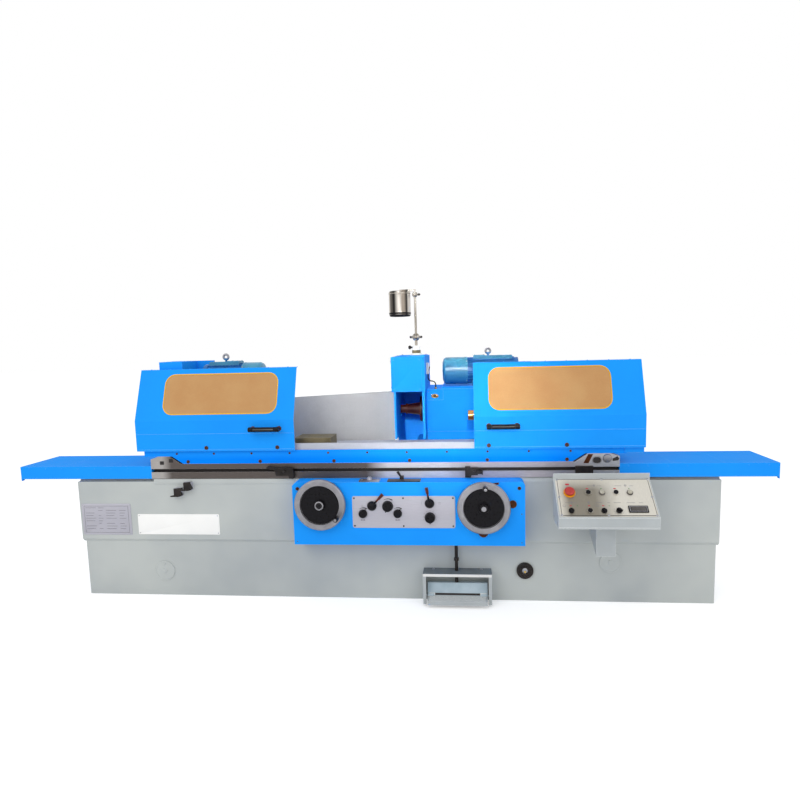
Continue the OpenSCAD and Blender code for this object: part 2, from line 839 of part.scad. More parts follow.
// Quill with the taper bore for a centre
module tailstock_quill() {
  length = quill_end - tailstock_x + quill_reach;
  color("#B08D57") difference() {
    turned_x(tailstock_x - quill_reach, 0, axis_z)
      polygon([[0, 0], [quill_r - 3, 0], [quill_r, 3], [quill_r, length], [0, length]]);
    turned_x(tailstock_x - quill_reach, 0, axis_z)
      polygon([[0, -1], [quill_r / 2 + 0.1, -1], [quill_r / 2 - 2, 90], [0, 96]]);
  }
}

// Lever that draws the quill back
module tailstock_lever() {
  color(DARK) {
    bar_y(lever_x, [-88, -quill_r - 6], axis_z, 8);
    bar_y(lever_x, [-100, -86], axis_z, 22);
    translate([lever_x, -93, axis_z]) cylinder(h = 120, r1 = 7, r2 = 5);
    translate([lever_x, -93, axis_z + 128]) sphere(14);
  }
}

// ---- Splash hoods ----

// The slanting face of a hood, from depth a to depth b behind its outer face
module hood_face(a, b) {
  low = upper_top + hood_crease;
  high = upper_top + hood_height;
  polygon([
    [hood_y + a, low], [hood_y + b, low], [hood_y + hood_lean + b, high], [hood_y + hood_lean + a, high]
  ]);
}

// Window outline in a hood that spans x, with a margin at each end
module window_outline(x, margins, gap = 0) {
  rounded(
    [x[0] + margins[0] + gap, x[1] - margins[1] - gap],
    [upper_top + 225 + gap, upper_top + hood_height - 30 - gap],
    window_radius - gap
  );
}

// Bent sheet hood with end rib, hangers on the rail, window hole and handle
module hood(x, margins, rib_x, handle_x) {
  low = upper_top + 1;
  crease = upper_top + hood_crease;
  high = upper_top + hood_height;
  back = hood_y + hood_lean + hood_flange;
  handle_z = upper_top + 136;
  difference() {
    union() {
      along_x(x) {
        translate([hood_y, low]) square([hood_sheet, crease - low]);
        hood_face(0, hood_sheet);
        translate([hood_y + hood_lean, high - hood_sheet]) square([hood_flange, hood_sheet]);
      }
      along_x([rib_x, rib_x + hood_sheet]) polygon([
        [hood_y, low], [hood_y + hood_flange, low], [hood_y + hood_flange, crease],
        [back, high], [hood_y + hood_lean, high], [hood_y, crease]
      ]);
    }
    along_y([hood_y - 1, back + 1]) window_outline(x, margins);
  }
  for (at = [x[0] + 130, x[1] - 170]) along_x([at, at + 40]) polygon([
    [hood_y + 1, low + 8], [rail_y - slide_gap, low + 8], [rail_y - slide_gap, rail_top + slide_gap],
    [rail_y + rail_thickness + slide_gap, rail_top + slide_gap],
    [rail_y + rail_thickness + slide_gap, rail_top - 22], [rail_y + rail_thickness + 6, rail_top - 22],
    [rail_y + rail_thickness + 6, rail_top + 8], [hood_y + 1, rail_top + 8]
  ]);
  bar_x([handle_x, handle_x + handle_length], hood_y - 43, handle_z, 12);
  for (at = [handle_x + 14, handle_x + handle_length - 14])
    bar_y(at, [hood_y - 43, hood_y + 1], handle_z, 9);
}
module window(x, margins) {
  color("#D0A06A") intersection() {
    along_y([hood_y - 1, hood_y + hood_lean + hood_flange]) window_outline(x, margins, slide_gap);
    along_x(x) hood_face(0.5, hood_sheet - 0.5);
  }
}
module left_hood() {
  rib = left_hood_span[0];
  handle = left_hood_span[1] - 78 - handle_length;
  color(BLUE) hood(left_hood_span, left_margins, rib, handle);
}
module left_window() {
  window(left_hood_span, left_margins);
}
module right_hood() {
  rib = right_hood_span[1] - hood_sheet;
  handle = right_hood_span[0] + 72;
  color(BLUE) hood(right_hood_span, right_margins, rib, handle);
}
module right_window() {
  window(right_hood_span, right_margins);
}

// ---- Handwheels and controls on the apron ----

// Dished handwheel on its shaft, with the pin for its grip
module handwheel(at, angle) {
  r = handwheel_r;
  pin = [at[0] + grip_radius * cos(angle), at[1] + grip_radius * sin(angle)];
  back = apron_front - wheel_gap;
  color(STEEL) {
    turned_front(at[0], back, at[1]) polygon([
      [0, -wheel_gap - apron_wall - 20], [shaft_r, -wheel_gap - apron_wall - 20], [shaft_r, 0],
      [34, 0], [34, 8], [r - 40, 10], [r - 36, 2], [r - 4, 2], [r, 6], [r, 24], [r - 6, wheel_face - 8],
      [r - 34, wheel_face - 8], [r - 38, 20], [34, 18], [30, wheel_face - 6], [26, wheel_face],
      [0, wheel_face]
    ]);
    bar_y(pin[0], [back - 32 - grip_length, back - 20], pin[1], 5);
    bar_y(pin[0], [back - 36 - grip_length, back - 32 - grip_length], pin[1], 8);
  }
}

// Grip that turns on the handwheel's pin
module crank_grip(at, angle) {
  pin = [at[0] + grip_radius * cos(angle), at[1] + grip_radius * sin(angle)];
  back = apron_front - wheel_gap;
  color(BLACK) turned_front(pin[0], back - 31, pin[1]) polygon([
    [5 + shaft_gap, 0], [12, 0], [11, 8], [16, grip_length * 0.6], [14, grip_length],
    [5 + shaft_gap, grip_length]
  ]);
}
module table_handwheel() {
  handwheel(wheel_left, grip_left);
}
module table_crank_grip() {
  crank_grip(wheel_left, grip_left);
}
module infeed_handwheel() {
  handwheel(wheel_right, grip_right);
}
module infeed_crank_grip() {
  crank_grip(wheel_right, grip_right);
}

// A shaft through the apron's wall that ends in a turned head
module apron_stem(at, front) {
  bar_y(at[0], [front - 2, apron_front + apron_wall + 8], at[1], stem_r);
}

// Round control knob with a pointer nose
module plate_knob(at, r, length, angle) {
  spot = on_plate(at);
  color(BLACK) {
    apron_stem(spot, panel_front);
    turned_front(spot[0], panel_front - 1, spot[1])
      polygon([[0, 0], [r, 0], [r, 4], [r - 4, length - 4], [r - 8, length], [0, length]]);
    translate([spot[0], panel_front - 1, spot[1]]) rotate([0, angle, 0])
      block([-3, 3], [-10, 0], [r - 5, r + 5]);
  }
}

// Domed hub with a tapered lever and handle
module plate_lever(at, angle) {
  spot = on_plate(at);
  color(BLACK) {
    apron_stem(spot, panel_front);
    turned_front(spot[0], panel_front - 1, spot[1])
      polygon([[0, 0], [28, 0], [28, 8], [20, 22], [9, 28], [0, 29]]);
    translate([spot[0], panel_front - 16, spot[1]]) rotate([0, angle, 0]) {
      cylinder(h = 62, r1 = 8, r2 = 5);
      translate([0, 0, 60]) cylinder(h = 38, r1 = 8, r2 = 10);
    }
  }
}
module left_lever() {
  plate_lever(plate_controls[0], 43);
}
module right_lever() {
  plate_lever(plate_controls[1], -9);
}
module left_small_knob() {
  plate_knob(plate_controls[2], 26, 22, 30);
}
module middle_small_knob() {
  plate_knob(plate_controls[3], 26, 22, 30);
}
module dwell_knob() {
  plate_knob(plate_controls[4], 33, 26, 200);
}
module feed_knob() {
  plate_knob(plate_controls[5], 32, 26, 180);
}

// Small lever that locks the infeed
module clamp_lever() {
  color(BROWN) {
    apron_stem(clamp_at, apron_front);
    bar_y(clamp_at[0], [apron_front - 12, apron_front - 1], clamp_at[1], 10);
    translate([clamp_at[0], apron_front - 7, clamp_at[1]]) rotate([0, 84, 0])
      cylinder(h = 62, r1 = 5, r2 = 6);
  }
}

// Lever that the trip dogs throw to reverse the table
module reverse_lever() {
  z = reverse_z + 12;
  color(DARK) {
    bar_y(reverse_x, [reverse_y - 12, reverse_y + 22], z, 5);
    bar_y(reverse_x, [reverse_y - 12, reverse_y - 1], z, 10);
    translate([reverse_x, reverse_y - 7, z]) rotate([0, -32, 0]) cylinder(h = 44, r1 = 5, r2 = 8);
  }
}

// ---- Wheelhead ----

// Saddle on the cross ways, with the round table's plate on top
module cross_slide() {
  wall = 40;
  x = [rear_x + 40, rear_x + rear_width - 30];
  color(CAST_GREY) difference() {
    block(x, [slide_front, slide_back], [cross_z, slide_top]);
    along_y([slide_front - 1, slide_back + 1]) vee(cross_vee_x, cross_z, slide_gap);
    block(
      [cross_vee_x + vee_base, x[1] - wall], [slide_front + wall, slide_back - wall],
      [cross_z + wall, slide_top - wall]
    );
  }
  color(BLUE) block([head_x + 3, x[1]], [slide_front, slide_front + 460], [slide_top, head_bottom]);
}

// Wheelhead casting bored for the wheel spindle
module wheelhead_housing() {
  back = head_front + head_depth;
  color(BLUE) difference() {
    union() {
      block([head_x, head_right], [head_front, back], [head_bottom, head_top]);
      block(
        [wheel_motor_x - 5, head_right], [head_front + 20, back - 20],
        [head_top, head_top + motor_pad - 10]
      );
      bar_y(head_x + 55, [head_front - 4, head_front + 1], head_top - 49, 24);
    }
    block(
      [head_x + 2 * head_wall, head_right - 2 * head_wall],
      [head_front + head_wall, back - head_wall], [head_bottom + head_wall, head_top - head_wall]
    );
    bar_x([head_x - 1, head_right + 1], wheel_y, axis_z, wheel_spindle_r + shaft_gap);
  }
}

// Motor on the wheelhead, its shaft end at the right
module wheel_motor() {
  end = wheel_motor_x + wheel_motor_length;
  color(MOTOR_BLUE) difference() {
    translate([end, 0, 0]) mirror([1, 0, 0])
      motor(0, wheel_motor_y, wheel_motor_z, wheel_motor_length, wheel_motor_r, 10, 200);
    bar_x([end - 60, end + 1], wheel_motor_y, wheel_motor_z, motor_shaft_r + shaft_gap);
  }
}

// Guard round the grinding wheel: a closed box above two walls and a back
module wheel_guard() {
  t = guard_sheet;
  x = [guard_x, guard_x + guard_width];
  color(BLUE) {
    difference() {
      block(x, [guard_front, guard_back], [head_top, guard_top]);
      block([x[0] + t, x[1] - t], [guard_front + t, guard_back - t], [head_top - 1, guard_top - t]);
    }
    difference() {
      block([guard_wall_x, head_x], [guard_front, guard_back], [guard_bottom, head_top + t]);
      block(cavity_x, [guard_front - 1, guard_back - 12], [guard_bottom - 1, head_top + t + 1]);
      bar_x([guard_wall_x - 1, cavity_x[0] + 1], wheel_y, axis_z, boss_r - 6);
      bar_x([cavity_x[1] - 1, head_x + 1], wheel_y, axis_z, wheel_spindle_r + 4);
    }
    block([guard_wall_x, rear_x + 39], [guard_back - 12, guard_back], [slide_top - 40, guard_bottom + 1]);
    block([guard_wall_x, cavity_x[0]], [guard_front + 170, guard_back], [slide_top - 40, guard_bottom + 1]);
    block([rear_x + 38, head_x], [guard_back - 12, guard_back], [slide_top + 1, guard_bottom + 1]);
    block([x[0] + 1, guard_wall_x + 1], [guard_front + 1, guard_back - 1], [head_top, head_top + t]);
    turned_x(guard_wall_x, wheel_y, axis_z) mirror([0, 1]) polygon([
      [boss_r - 6, 0], [boss_r, 0], [boss_r, boss_reach - 12], [boss_r - 12, boss_reach],
      [0, boss_reach], [0, boss_reach - 5], [boss_r - 14, boss_reach - 5], [boss_r - 6, boss_reach - 14]
    ]);
    block([lamp_x - 48, x[1]], [lamp_y - 48, lamp_y + 48], [guard_top, guard_top + lamp_pad]);
  }
}

// Sheet cover round the two pulleys
module belt_cover() {
  t = guard_sheet;
  y = [wheel_y - 100, wheel_motor_y + 90];
  z = [axis_z - 100, wheel_motor_z + 50];
  color(BLUE) difference() {
    block(belt_cover_x, y, z);
    block([belt_cover_x[0] + t, belt_cover_x[1] - t], [y[0] + t, y[1] - t], [z[0] + t, z[1] - t]);
    bar_x([belt_cover_x[0] - 1, belt_cover_x[0] + t + 1], wheel_y, axis_z, wheel_spindle_r + 4);
    bar_x([belt_cover_x[0] - 1, belt_cover_x[0] + t + 1], wheel_motor_y, wheel_motor_z, motor_shaft_r + 4);
  }
}

// Wheel spindle: nose taper, flange, journal and grooved pulley
module wheel_spindle() {
  nose = flange_x - spindle_tip;
  end = belt_cover_x[0] + 20 - spindle_tip;
  r = wheel_spindle_r;
  color("#4A1A10") turned_x(spindle_tip, wheel_y, axis_z) polygon(concat(
    [
      [0, 0], [26, 0], [28.5, 3], [28.5, 48], [36, 48], [36, 58], [33, 58], [44, nose],
      [87, nose], [87, nose + 12], [r, nose + 12], [r, end], [80, end]
    ],
    pulley_grooves(80, end), [[80, end + 50], [0, end + 50]]
  ));
}

// Belt grooves across the rim of a pulley that starts at a distance along its axis
function pulley_grooves(r, start) = [
  for (i = [0:2], p = [[0, 5], [-9, 8], [-9, 10], [0, 13]]) [r + p[0], start + i * 14 + p[1]]
];

module wheel_motor_pulley() {
  end = wheel_motor_x + wheel_motor_length;
  start = end - 55;
  hub = belt_cover_x[0] + 20 - start;
  color(STEEL) turned_x(start, wheel_motor_y, wheel_motor_z) polygon(concat(
    [[0, 0], [motor_shaft_r, 0], [motor_shaft_r, hub], [44, hub]],
    pulley_grooves(44, hub), [[44, hub + 50], [0, hub + 50]]
  ));
}

// ---- Lamp ----

// Lamp foot with its ball joint, and the switch box with its lead beside the guard
module lamp_base() {
  z = guard_top + lamp_pad;
  right = guard_x + guard_width;
  lead_y = head_front + 12;
  bend = 25;
  color("#E4E4E2") {
    turned_z(lamp_x, lamp_y, z)
      polygon([
        [0, 0], [44, 0], [44, 3], [30, 12], [28, 12], [28, 32], [25, 32], [25, 58], [20, 62], [0, 62]
      ]);
    bar_z(lamp_x, lamp_y, [z + 61, lamp_joint_z - lamp_ball_r + 3], 9);
    bar_x([lamp_x - 38, lamp_x - 20], lamp_y, z + 50, 6);
    difference() {
      translate([lamp_x, lamp_y, lamp_joint_z]) sphere(lamp_ball_r);
      block(
        [lamp_x - 8, lamp_x + 8], [lamp_y - 30, lamp_y + 30],
        [lamp_joint_z - 12, lamp_joint_z + 30]
      );
    }
    bar_x([lamp_x - 32, lamp_x + 32], lamp_y, lamp_joint_z, 4);
  }
  color("#8C8F8F")
    block([right, right + 14], [lead_y - 58, lead_y + 8], [head_top + 105, head_top + 177]);
  color(BLACK) {
    bar_z(right + 7, lead_y, [head_top + 4 + 3 * bend, head_top + 106], 4);
    translate([right + 7 + bend, lead_y, head_top + 4 + 3 * bend]) rotate([90, 180, 0])
      rotate_extrude(angle = 90) translate([bend, 0]) circle(4);
    translate([right + 7 + bend, lead_y, head_top + 4 + bend]) rotate([90, 0, 0])
      rotate_extrude(angle = 90) translate([bend, 0]) circle(4);
    bar_z(right + 7 + 2 * bend, lead_y, [head_top, head_top + 4 + bend], 4);
  }
  color("#B59A4A") bar_z(right + 7 + 2 * bend, lead_y, [head_top, head_top + 12], 8);
}

// Arm with an eye at its foot and a slotted ball at its top
module lamp_arm() {
  color("#C8C4BC") difference() {
    union() {
      bar_x([lamp_x - 7.5, lamp_x + 7.5], lamp_y, lamp_joint_z, 11.5);
      bar_z(lamp_x, lamp_y, [lamp_joint_z, shade_joint_z - 12], 7.5);
      translate([lamp_x, lamp_y, shade_joint_z]) sphere(shade_ball_r);
      bar_x([lamp_x - 12, lamp_x + 24], lamp_y, shade_joint_z, 3.5);
    }
    bar_x([lamp_x - 9, lamp_x + 9], lamp_y, lamp_joint_z, 4 + shaft_gap);
    difference() {
      block([lamp_x - 6, lamp_x + 6], [lamp_y - 20, lamp_y + 20], [shade_joint_z - 9, shade_joint_z + 20]);
      bar_x([lamp_x - 7, lamp_x + 7], lamp_y, shade_joint_z, 3.5);
    }
  }
}

// Shade with its bracket and eye, and the lamp holder inside
module lamp_shade() {
  color("#8E8B86") {
    turned_z(shade_x, lamp_y, shade_top - shade_height) polygon([
      [shade_r - shade_sheet, 0], [shade_r, 0], [shade_r, shade_height - 6], [shade_r - 6, shade_height],
      [0, shade_height], [0, shade_height - 40], [20, shade_height - 40], [20, shade_height - 3],
      [shade_r - 8, shade_height - 3], [shade_r - shade_sheet, shade_height - 9]
    ]);
    difference() {
      union() {
        bar_x([lamp_x - 5.5, lamp_x + 5.5], lamp_y, shade_joint_z, 8.5);
        block([lamp_x - 5.5, lamp_x + 5.5], [lamp_y - 6, lamp_y + 6], [shade_joint_z + 5, shade_top + 10]);
        block([shade_x, lamp_x + 5.5], [lamp_y - 8, lamp_y + 8], [shade_top - 2, shade_top + 10]);
      }
      bar_x([lamp_x - 8, lamp_x + 8], lamp_y, shade_joint_z, 3.5 + shaft_gap);
    }
  }
}

// ---- Pedal ----

// Treadle bored for the frame's pins, with the flange that lifts the rod
module pedal_treadle() {
  x = [pedal_x + treadle_gap + 9, pedal_x + pedal_width - treadle_gap - 9];
  color("#A9B7C2") difference() {
    union() {
      along_x(x) {
        translate([treadle_y, treadle_z]) {
          polygon([[-65, -36], [-59, -36], [-59, -17], [4, -8], [4, -1], [-65, -11]]);
          polygon([[-2, -8], [4, -8], [20, 66], [36, 66], [36, 72], [15, 72]]);
        }
      }
      for (at = [x[0], x[1] - 40]) bar_x([at, at + 40], treadle_y, treadle_z, 12);
    }
    for (at = [x[0] - 1, x[1] - 25]) bar_x([at, at + 26], treadle_y, treadle_z, stem_r + shaft_gap);
  }
}

// Push rod from the treadle into the apron
module pedal_rod() {
  color(BLACK) {
    bar_z(rod_x, rod_y, [treadle_top + slide_gap, apron_bottom + 60], rod_r);
    bar_z(rod_x, rod_y, [apron_bottom - 122, apron_bottom - 106], rod_r + 5);
  }
}

// ---- Controls on the console ----

module emergency_stop() {
  color("#D43A33") on_seat(stop_at) {
    bar_z(0, 0, [-20, 16], stem_r);
    turned_z(0, 0, 15) polygon([[0, 0], [27, 0], [27, 8], [20, 14], [0, 16]]);
  }
}

// Push button whose cap stands in its bezel
module push_button(at, tint) {
  color(tint) on_seat(at) {
    bar_z(0, 0, [-16, panel_thickness + 5], press_stem_r);
    bar_z(0, 0, [panel_thickness + 4.5, panel_thickness + 11], button_r);
  }
}
module start_button_1() {
  push_button(button_at[1], "#D8D4C8");
}
module stop_button_1() {
  push_button(button_at[0], BLACK);
}
module start_button_2() {
  push_button(button_at[3], "#D8D4C8");
}
module stop_button_2() {
  push_button(button_at[2], BLACK);
}
module reset_button() {
  push_button(reset_at, BLACK);
}

// Rotary control with a raised bar across its head
module rotary(at, r, length, angle) {
  top = panel_thickness;
  color(BLACK) on_seat(at) {
    bar_z(0, 0, [-16, top + 2], stem_r);
    bar_z(0, 0, [top + 1, top + length], r);
    rotate(angle) block([-4, 4], [-r - 3, r - 4], [top + length - 1, top + length + 8]);
  }
}
module left_selector() {
  rotary(left_selector_at, 15, 8, 0);
}
module right_selector() {
  rotary(right_selector_at, 15, 8, 20);
}
module speed_dial() {
  rotary(dial_at, 15, 12, 60);
}

bed_casting();
bed_fittings();
apron_housing();
apron_plates();
apron_plugs();
console_box();
console_panel();
pedal_frame();
splash_back();
lower_table();
way_covers();
left_trip_dog();
right_trip_dog();
upper_table();
front_strip();
steady_base();
workhead_housing();
workhead_motor();
workhead_belt_guard();
work_spindle();
tailstock_body();
tailstock_quill();
tailstock_lever();
left_hood();
left_window();
right_hood();
right_window();
table_handwheel();
table_crank_grip();
infeed_handwheel();
infeed_crank_grip();
left_lever();
right_lever();
left_small_knob();
middle_small_knob();
dwell_knob();
feed_knob();
clamp_lever();
reverse_lever();
cross_slide();
wheelhead_housing();
wheel_motor();
wheel_guard();
belt_cover();
wheel_spindle();
wheel_motor_pulley();
lamp_base();
lamp_arm();
lamp_shade();
pedal_treadle();
pedal_rod();
emergency_stop();
start_button_1();
stop_button_1();
start_button_2();
stop_button_2();
reset_button();
left_selector();
right_selector();
speed_dial();
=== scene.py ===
"""Finishes, small fittings and stage for a cylindrical grinding machine."""

import json
import math

import bmesh
import bpy
from mathutils import Matrix, Vector


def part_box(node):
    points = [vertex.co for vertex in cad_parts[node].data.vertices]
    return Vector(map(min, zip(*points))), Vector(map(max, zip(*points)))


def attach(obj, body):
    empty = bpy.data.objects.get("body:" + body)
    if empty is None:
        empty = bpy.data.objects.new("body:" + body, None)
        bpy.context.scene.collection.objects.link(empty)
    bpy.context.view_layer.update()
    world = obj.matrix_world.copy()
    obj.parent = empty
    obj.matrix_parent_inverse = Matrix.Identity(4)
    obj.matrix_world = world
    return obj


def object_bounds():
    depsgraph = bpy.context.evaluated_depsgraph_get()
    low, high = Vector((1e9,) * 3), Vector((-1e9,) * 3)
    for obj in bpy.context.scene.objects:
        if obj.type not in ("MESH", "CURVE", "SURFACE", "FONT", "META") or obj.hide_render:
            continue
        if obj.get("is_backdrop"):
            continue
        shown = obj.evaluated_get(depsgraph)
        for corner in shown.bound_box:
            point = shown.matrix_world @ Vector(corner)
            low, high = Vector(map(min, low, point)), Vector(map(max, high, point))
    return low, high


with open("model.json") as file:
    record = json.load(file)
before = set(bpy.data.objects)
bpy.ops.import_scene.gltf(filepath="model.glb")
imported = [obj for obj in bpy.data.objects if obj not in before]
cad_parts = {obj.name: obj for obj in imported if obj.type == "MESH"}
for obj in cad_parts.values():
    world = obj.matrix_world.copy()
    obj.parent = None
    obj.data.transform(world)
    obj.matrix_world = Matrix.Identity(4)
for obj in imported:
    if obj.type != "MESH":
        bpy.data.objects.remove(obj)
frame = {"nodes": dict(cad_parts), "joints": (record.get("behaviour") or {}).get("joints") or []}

bl_info = {
    "name": "Cylindrical grinder",
    "version": (1, 0, 0),
    "blender": (4, 5, 0),
    "location": "3D View > Sidebar > Grinder",
    "description": "Finishes, small fittings and stage for a cylindrical grinding machine",
    "category": "Object",
}

RIGHT = Vector((1, 0, 0))
BACK = Vector((0, 1, 0))
UP = Vector((0, 0, 1))

# The finishes of a sheet cover, of its screws and of the holes in them
BLUE_SHEET = ("blue_machine_enamel", "zinc_plated_steel", "oil_and_painted_shade")
GREY_SHEET = ("grey_machine_enamel", "zinc_plated_steel", "oil_and_painted_shade")

# Sizes in millimetres that more than one step needs
HOOD_FACE = 55  # From the front of a hood's handle back to the hood's face
HANDLE_MIDDLE = (12, 135)  # The handle's bar: back from its front, and up from the hood's foot
TABLE_FRONT = -180  # The lower table's front face
MOTOR_RADIUS = 92
SHADE_RADIUS = 70
PANEL_SKIN = 3.1  # Just above the console panel's sheet
BUTTON_ROW = 157  # Height of the console's upper row along its slope


def linear(code):
    """A linear colour with full alpha from an sRGB hex value. A colour already linear stays."""
    if not isinstance(code, str):
        return code
    parts = [int(code[i:i + 2], 16) / 255 for i in (1, 3, 5)]
    return [p / 12.92 if p <= 0.04045 else ((p + 0.055) / 1.055) ** 2.4 for p in parts] + [1.0]


def tint(name, description, code):
    """A colour that the user can change."""
    return bpy.props.FloatVectorProperty(
        name=name, description=description, subtype="COLOR", size=4, min=0, max=1,
        default=linear(code))


def length(name, description, size):
    """A length that the user can change, given in millimetres."""
    return bpy.props.FloatProperty(
        name=name, description=description, unit="LENGTH", min=0, default=size / 1000)


class GrinderColours(bpy.types.PropertyGroup):
    """Colours of the finishes."""

    blue: tint("Blue enamel", "Enamel on the heads, hoods and apron", "#1E98FF")
    grey: tint("Grey enamel", "Enamel on the bed and console", "#BCC1BF")
    shade: tint("Grey in shade", "Duller grey that the bed's enamel drifts to", "#A9AFB1")
    motor: tint("Motor enamel", "Enamel on the motors' fan covers", "#4298B8")
    fins: tint("Fin enamel", "Enamel on the motors' fins", "#1F64A8")
    board: tint("Window board", "Kraft board behind the hoods' windows", "#C69B69")
    edging: tint("Window edging", "Edging round the hoods' windows", "#D9A400")
    floor: tint("Floor", "Studio floor", "#FAFAFA")


class GrinderSizes(bpy.types.PropertyGroup):
    """Sizes of the small fittings."""

    edging: length("Edging", "Width of the edging round a window", 6)
    bead: length("Bead", "Width of the pressed bead along a hood", 4)
    strip_screw: length("Strip screw", "Radius of a screw in the table's front strip", 6.5)
    strip_bolt: length("Strip bolt", "Radius of a bolt in the table's front strip", 10.5)
    cover_screw: length("Cover screw", "Radius of a screw in a sheet cover", 6)
    mark: length("Mark", "Height of a printed mark above its plate", 0.4)


def reach(node):
    """Lowest and highest corner of a CAD node, in millimetres."""
    low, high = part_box(node)
    return Vector(low) * 1000, Vector(high) * 1000


def pivot(joint):
    """The point that a joint turns about, in millimetres."""
    found = [j for j in frame["joints"] if j["name"] == joint]
    return Vector(found[0]["pos_m"]) * 1000


def plane(origin, right=RIGHT, up=UP):
    """Places a drawing in millimetres: x to the right, y up and z out of the plane."""
    right, up = right.normalized(), up.normalized()
    out = right.cross(up)
    turn = Matrix((right, up, out)).transposed().to_4x4()
    return Matrix.Scale(0.001, 4) @ Matrix.Translation(origin) @ turn


def front_at(y):
    """A plane that faces the front."""
    return plane(Vector((0, y, 0)))


def back_at(y):
    """A plane that faces the back, drawn from behind."""
    return plane(Vector((0, y, 0)), -RIGHT, UP)


def side_at(x, sign):
    """A plane that faces the right, or the left where sign is -1."""
    return plane(Vector((x, 0, 0)), sign * BACK, UP)


def top_at(z):
    """A plane that faces up."""
    return plane(Vector((0, 0, z)), RIGHT, BACK)


def around(count, start=0):
    """Cosine and sine of directions spread round a circle from a start in degrees."""
    angles = [math.radians(start + 360 / count * i) for i in range(count)]
    return [(math.cos(a), math.sin(a)) for a in angles]


def turns(place, count, start=0):
    """A plane turned in itself to directions spread round a circle."""
    return [place @ Matrix.Rotation(math.radians(start + 360 / count * i), 4, "Z")
            for i in range(count)]


def spread(start, end, count):
    """Places spread evenly from start to end."""
    return [start + i * (end - start) / (count - 1) for i in range(count)]


# ---- Finishes ----


def add(tree, kind, inputs=(), **settings):
    """A node with its settings, its values and its links."""
    node = tree.nodes.new("ShaderNode" + kind)
    for name, value in settings.items():
        setattr(node, name, value)
    for key, value in dict(inputs).items():
        if isinstance(value, bpy.types.NodeSocket):
            tree.links.new(value, node.inputs[key])
        else:
            node.inputs[key].default_value = value
    return node


def scaled(colour, amount):
    """A colour made lighter or darker."""
    return [min(1, part * amount) for part in colour[:3]] + [1.0]


def finish(name, colour, second=None, patch=300, drift=0.05, grain=2.5, bump=0.02,
           stretch=(1, 1, 1), edge=None, edge_size=1.5, smear=0.0, roughness=0.5, metallic=0.0,
           specular=0.5, coat=0.0, fade=()):
    """A finish with slow colour drift, a fine grain in the surface and pale edges: wear and
    painted highlight.

    patch, grain and edge_size are the sizes of the drift, the grain and an edge, in millimetres.
    fade is any number of an axis, two places on it in millimetres and the colour at the second.
    """
    colour = linear(colour)
    material = bpy.data.materials.new(name)
    material.use_nodes = True
    material.diffuse_color = colour
    tree = material.node_tree
    tree.nodes.clear()
    place = add(tree, "TexCoord").outputs["Object"]
    laid = add(tree, "Mapping", {"Vector": place, "Scale": stretch}).outputs[0]
    cloud = add(tree, "TexNoise", {
        "Vector": laid, "Scale": 1000 / patch, "Detail": 3.0}).outputs[0]
    cloud = add(tree, "MapRange", {"Value": cloud, "From Min": 0.35, "From Max": 0.65}).outputs[0]
    fine = add(tree, "TexNoise", {
        "Vector": laid, "Scale": 1000 / grain, "Detail": 2.0}).outputs[0]
    second = linear(second) if second else scaled(colour, 1 + drift)
    tone = add(tree, "Mix", {0: cloud, 6: scaled(colour, 1 - drift), 7: second},
               data_type="RGBA").outputs[2]
    for axis, start, stop, other in fade:
        along = add(tree, "SeparateXYZ", {0: place}).outputs[axis]
        share = add(tree, "MapRange", {
            "Value": along, "From Min": start / 1000, "From Max": stop / 1000}).outputs[0]
        tone = add(tree, "Mix", {0: share, 6: tone, 7: linear(other)},
                   data_type="RGBA").outputs[2]
    if smear:
        fleck = add(tree, "MapRange", {
            "Value": fine, "From Min": 0.3, "From Max": 0.7, "To Min": 1 - smear,
            "To Max": 1 + smear}).outputs[0]
        tone = add(tree, "Mix", {0: 1.0, 6: tone, 7: fleck}, data_type="RGBA",
                   blend_type="MULTIPLY").outputs[2]
    # Paler edges: part wear, part painted highlight along the edges
    if edge:
        soft = add(tree, "Bevel", {"Radius": edge_size / 1000}, samples=4).outputs[0]
        true = add(tree, "NewGeometry").outputs["Normal"]
        match = add(tree, "VectorMath", {0: soft, 1: true},
                    operation="DOT_PRODUCT").outputs["Value"]
        edge_wear_and_highlight = add(tree, "MapRange", {
            "Value": match, "From Min": 0.99, "From Max": 0.8}).outputs[0]
        tone = add(tree, "Mix", {0: edge_wear_and_highlight, 6: tone, 7: linear(edge)}, data_type="RGBA").outputs[2]
    rough = add(tree, "MapRange", {
        "Value": cloud, "To Min": roughness * 0.9, "To Max": min(1, roughness * 1.12)}).outputs[0]
    raised = add(tree, "Bump", {"Height": fine, "Strength": 1.0, "Distance": bump / 1000})
    shader = add(tree, "BsdfPrincipled", {
        "Base Color": tone, "Roughness": rough, "Metallic": metallic,
        "Specular IOR Level": specular, "Coat Weight": coat, "Coat Roughness": 0.08,
        "Normal": raised.outputs[0]})
    add(tree, "OutputMaterial", {"Surface": shader.outputs[0]})
    return material


def coat_faces(node, name, test):
    """Gives a finish to the faces of a CAD node that pass a test of centre and normal."""
    data = frame["nodes"][node].data
    if name not in data.materials:
        data.materials.append(bpy.data.materials[name])
    index = data.materials.find(name)
    for face in data.polygons:
        if test(face.center * 1000, face.normal):
            face.material_index = index


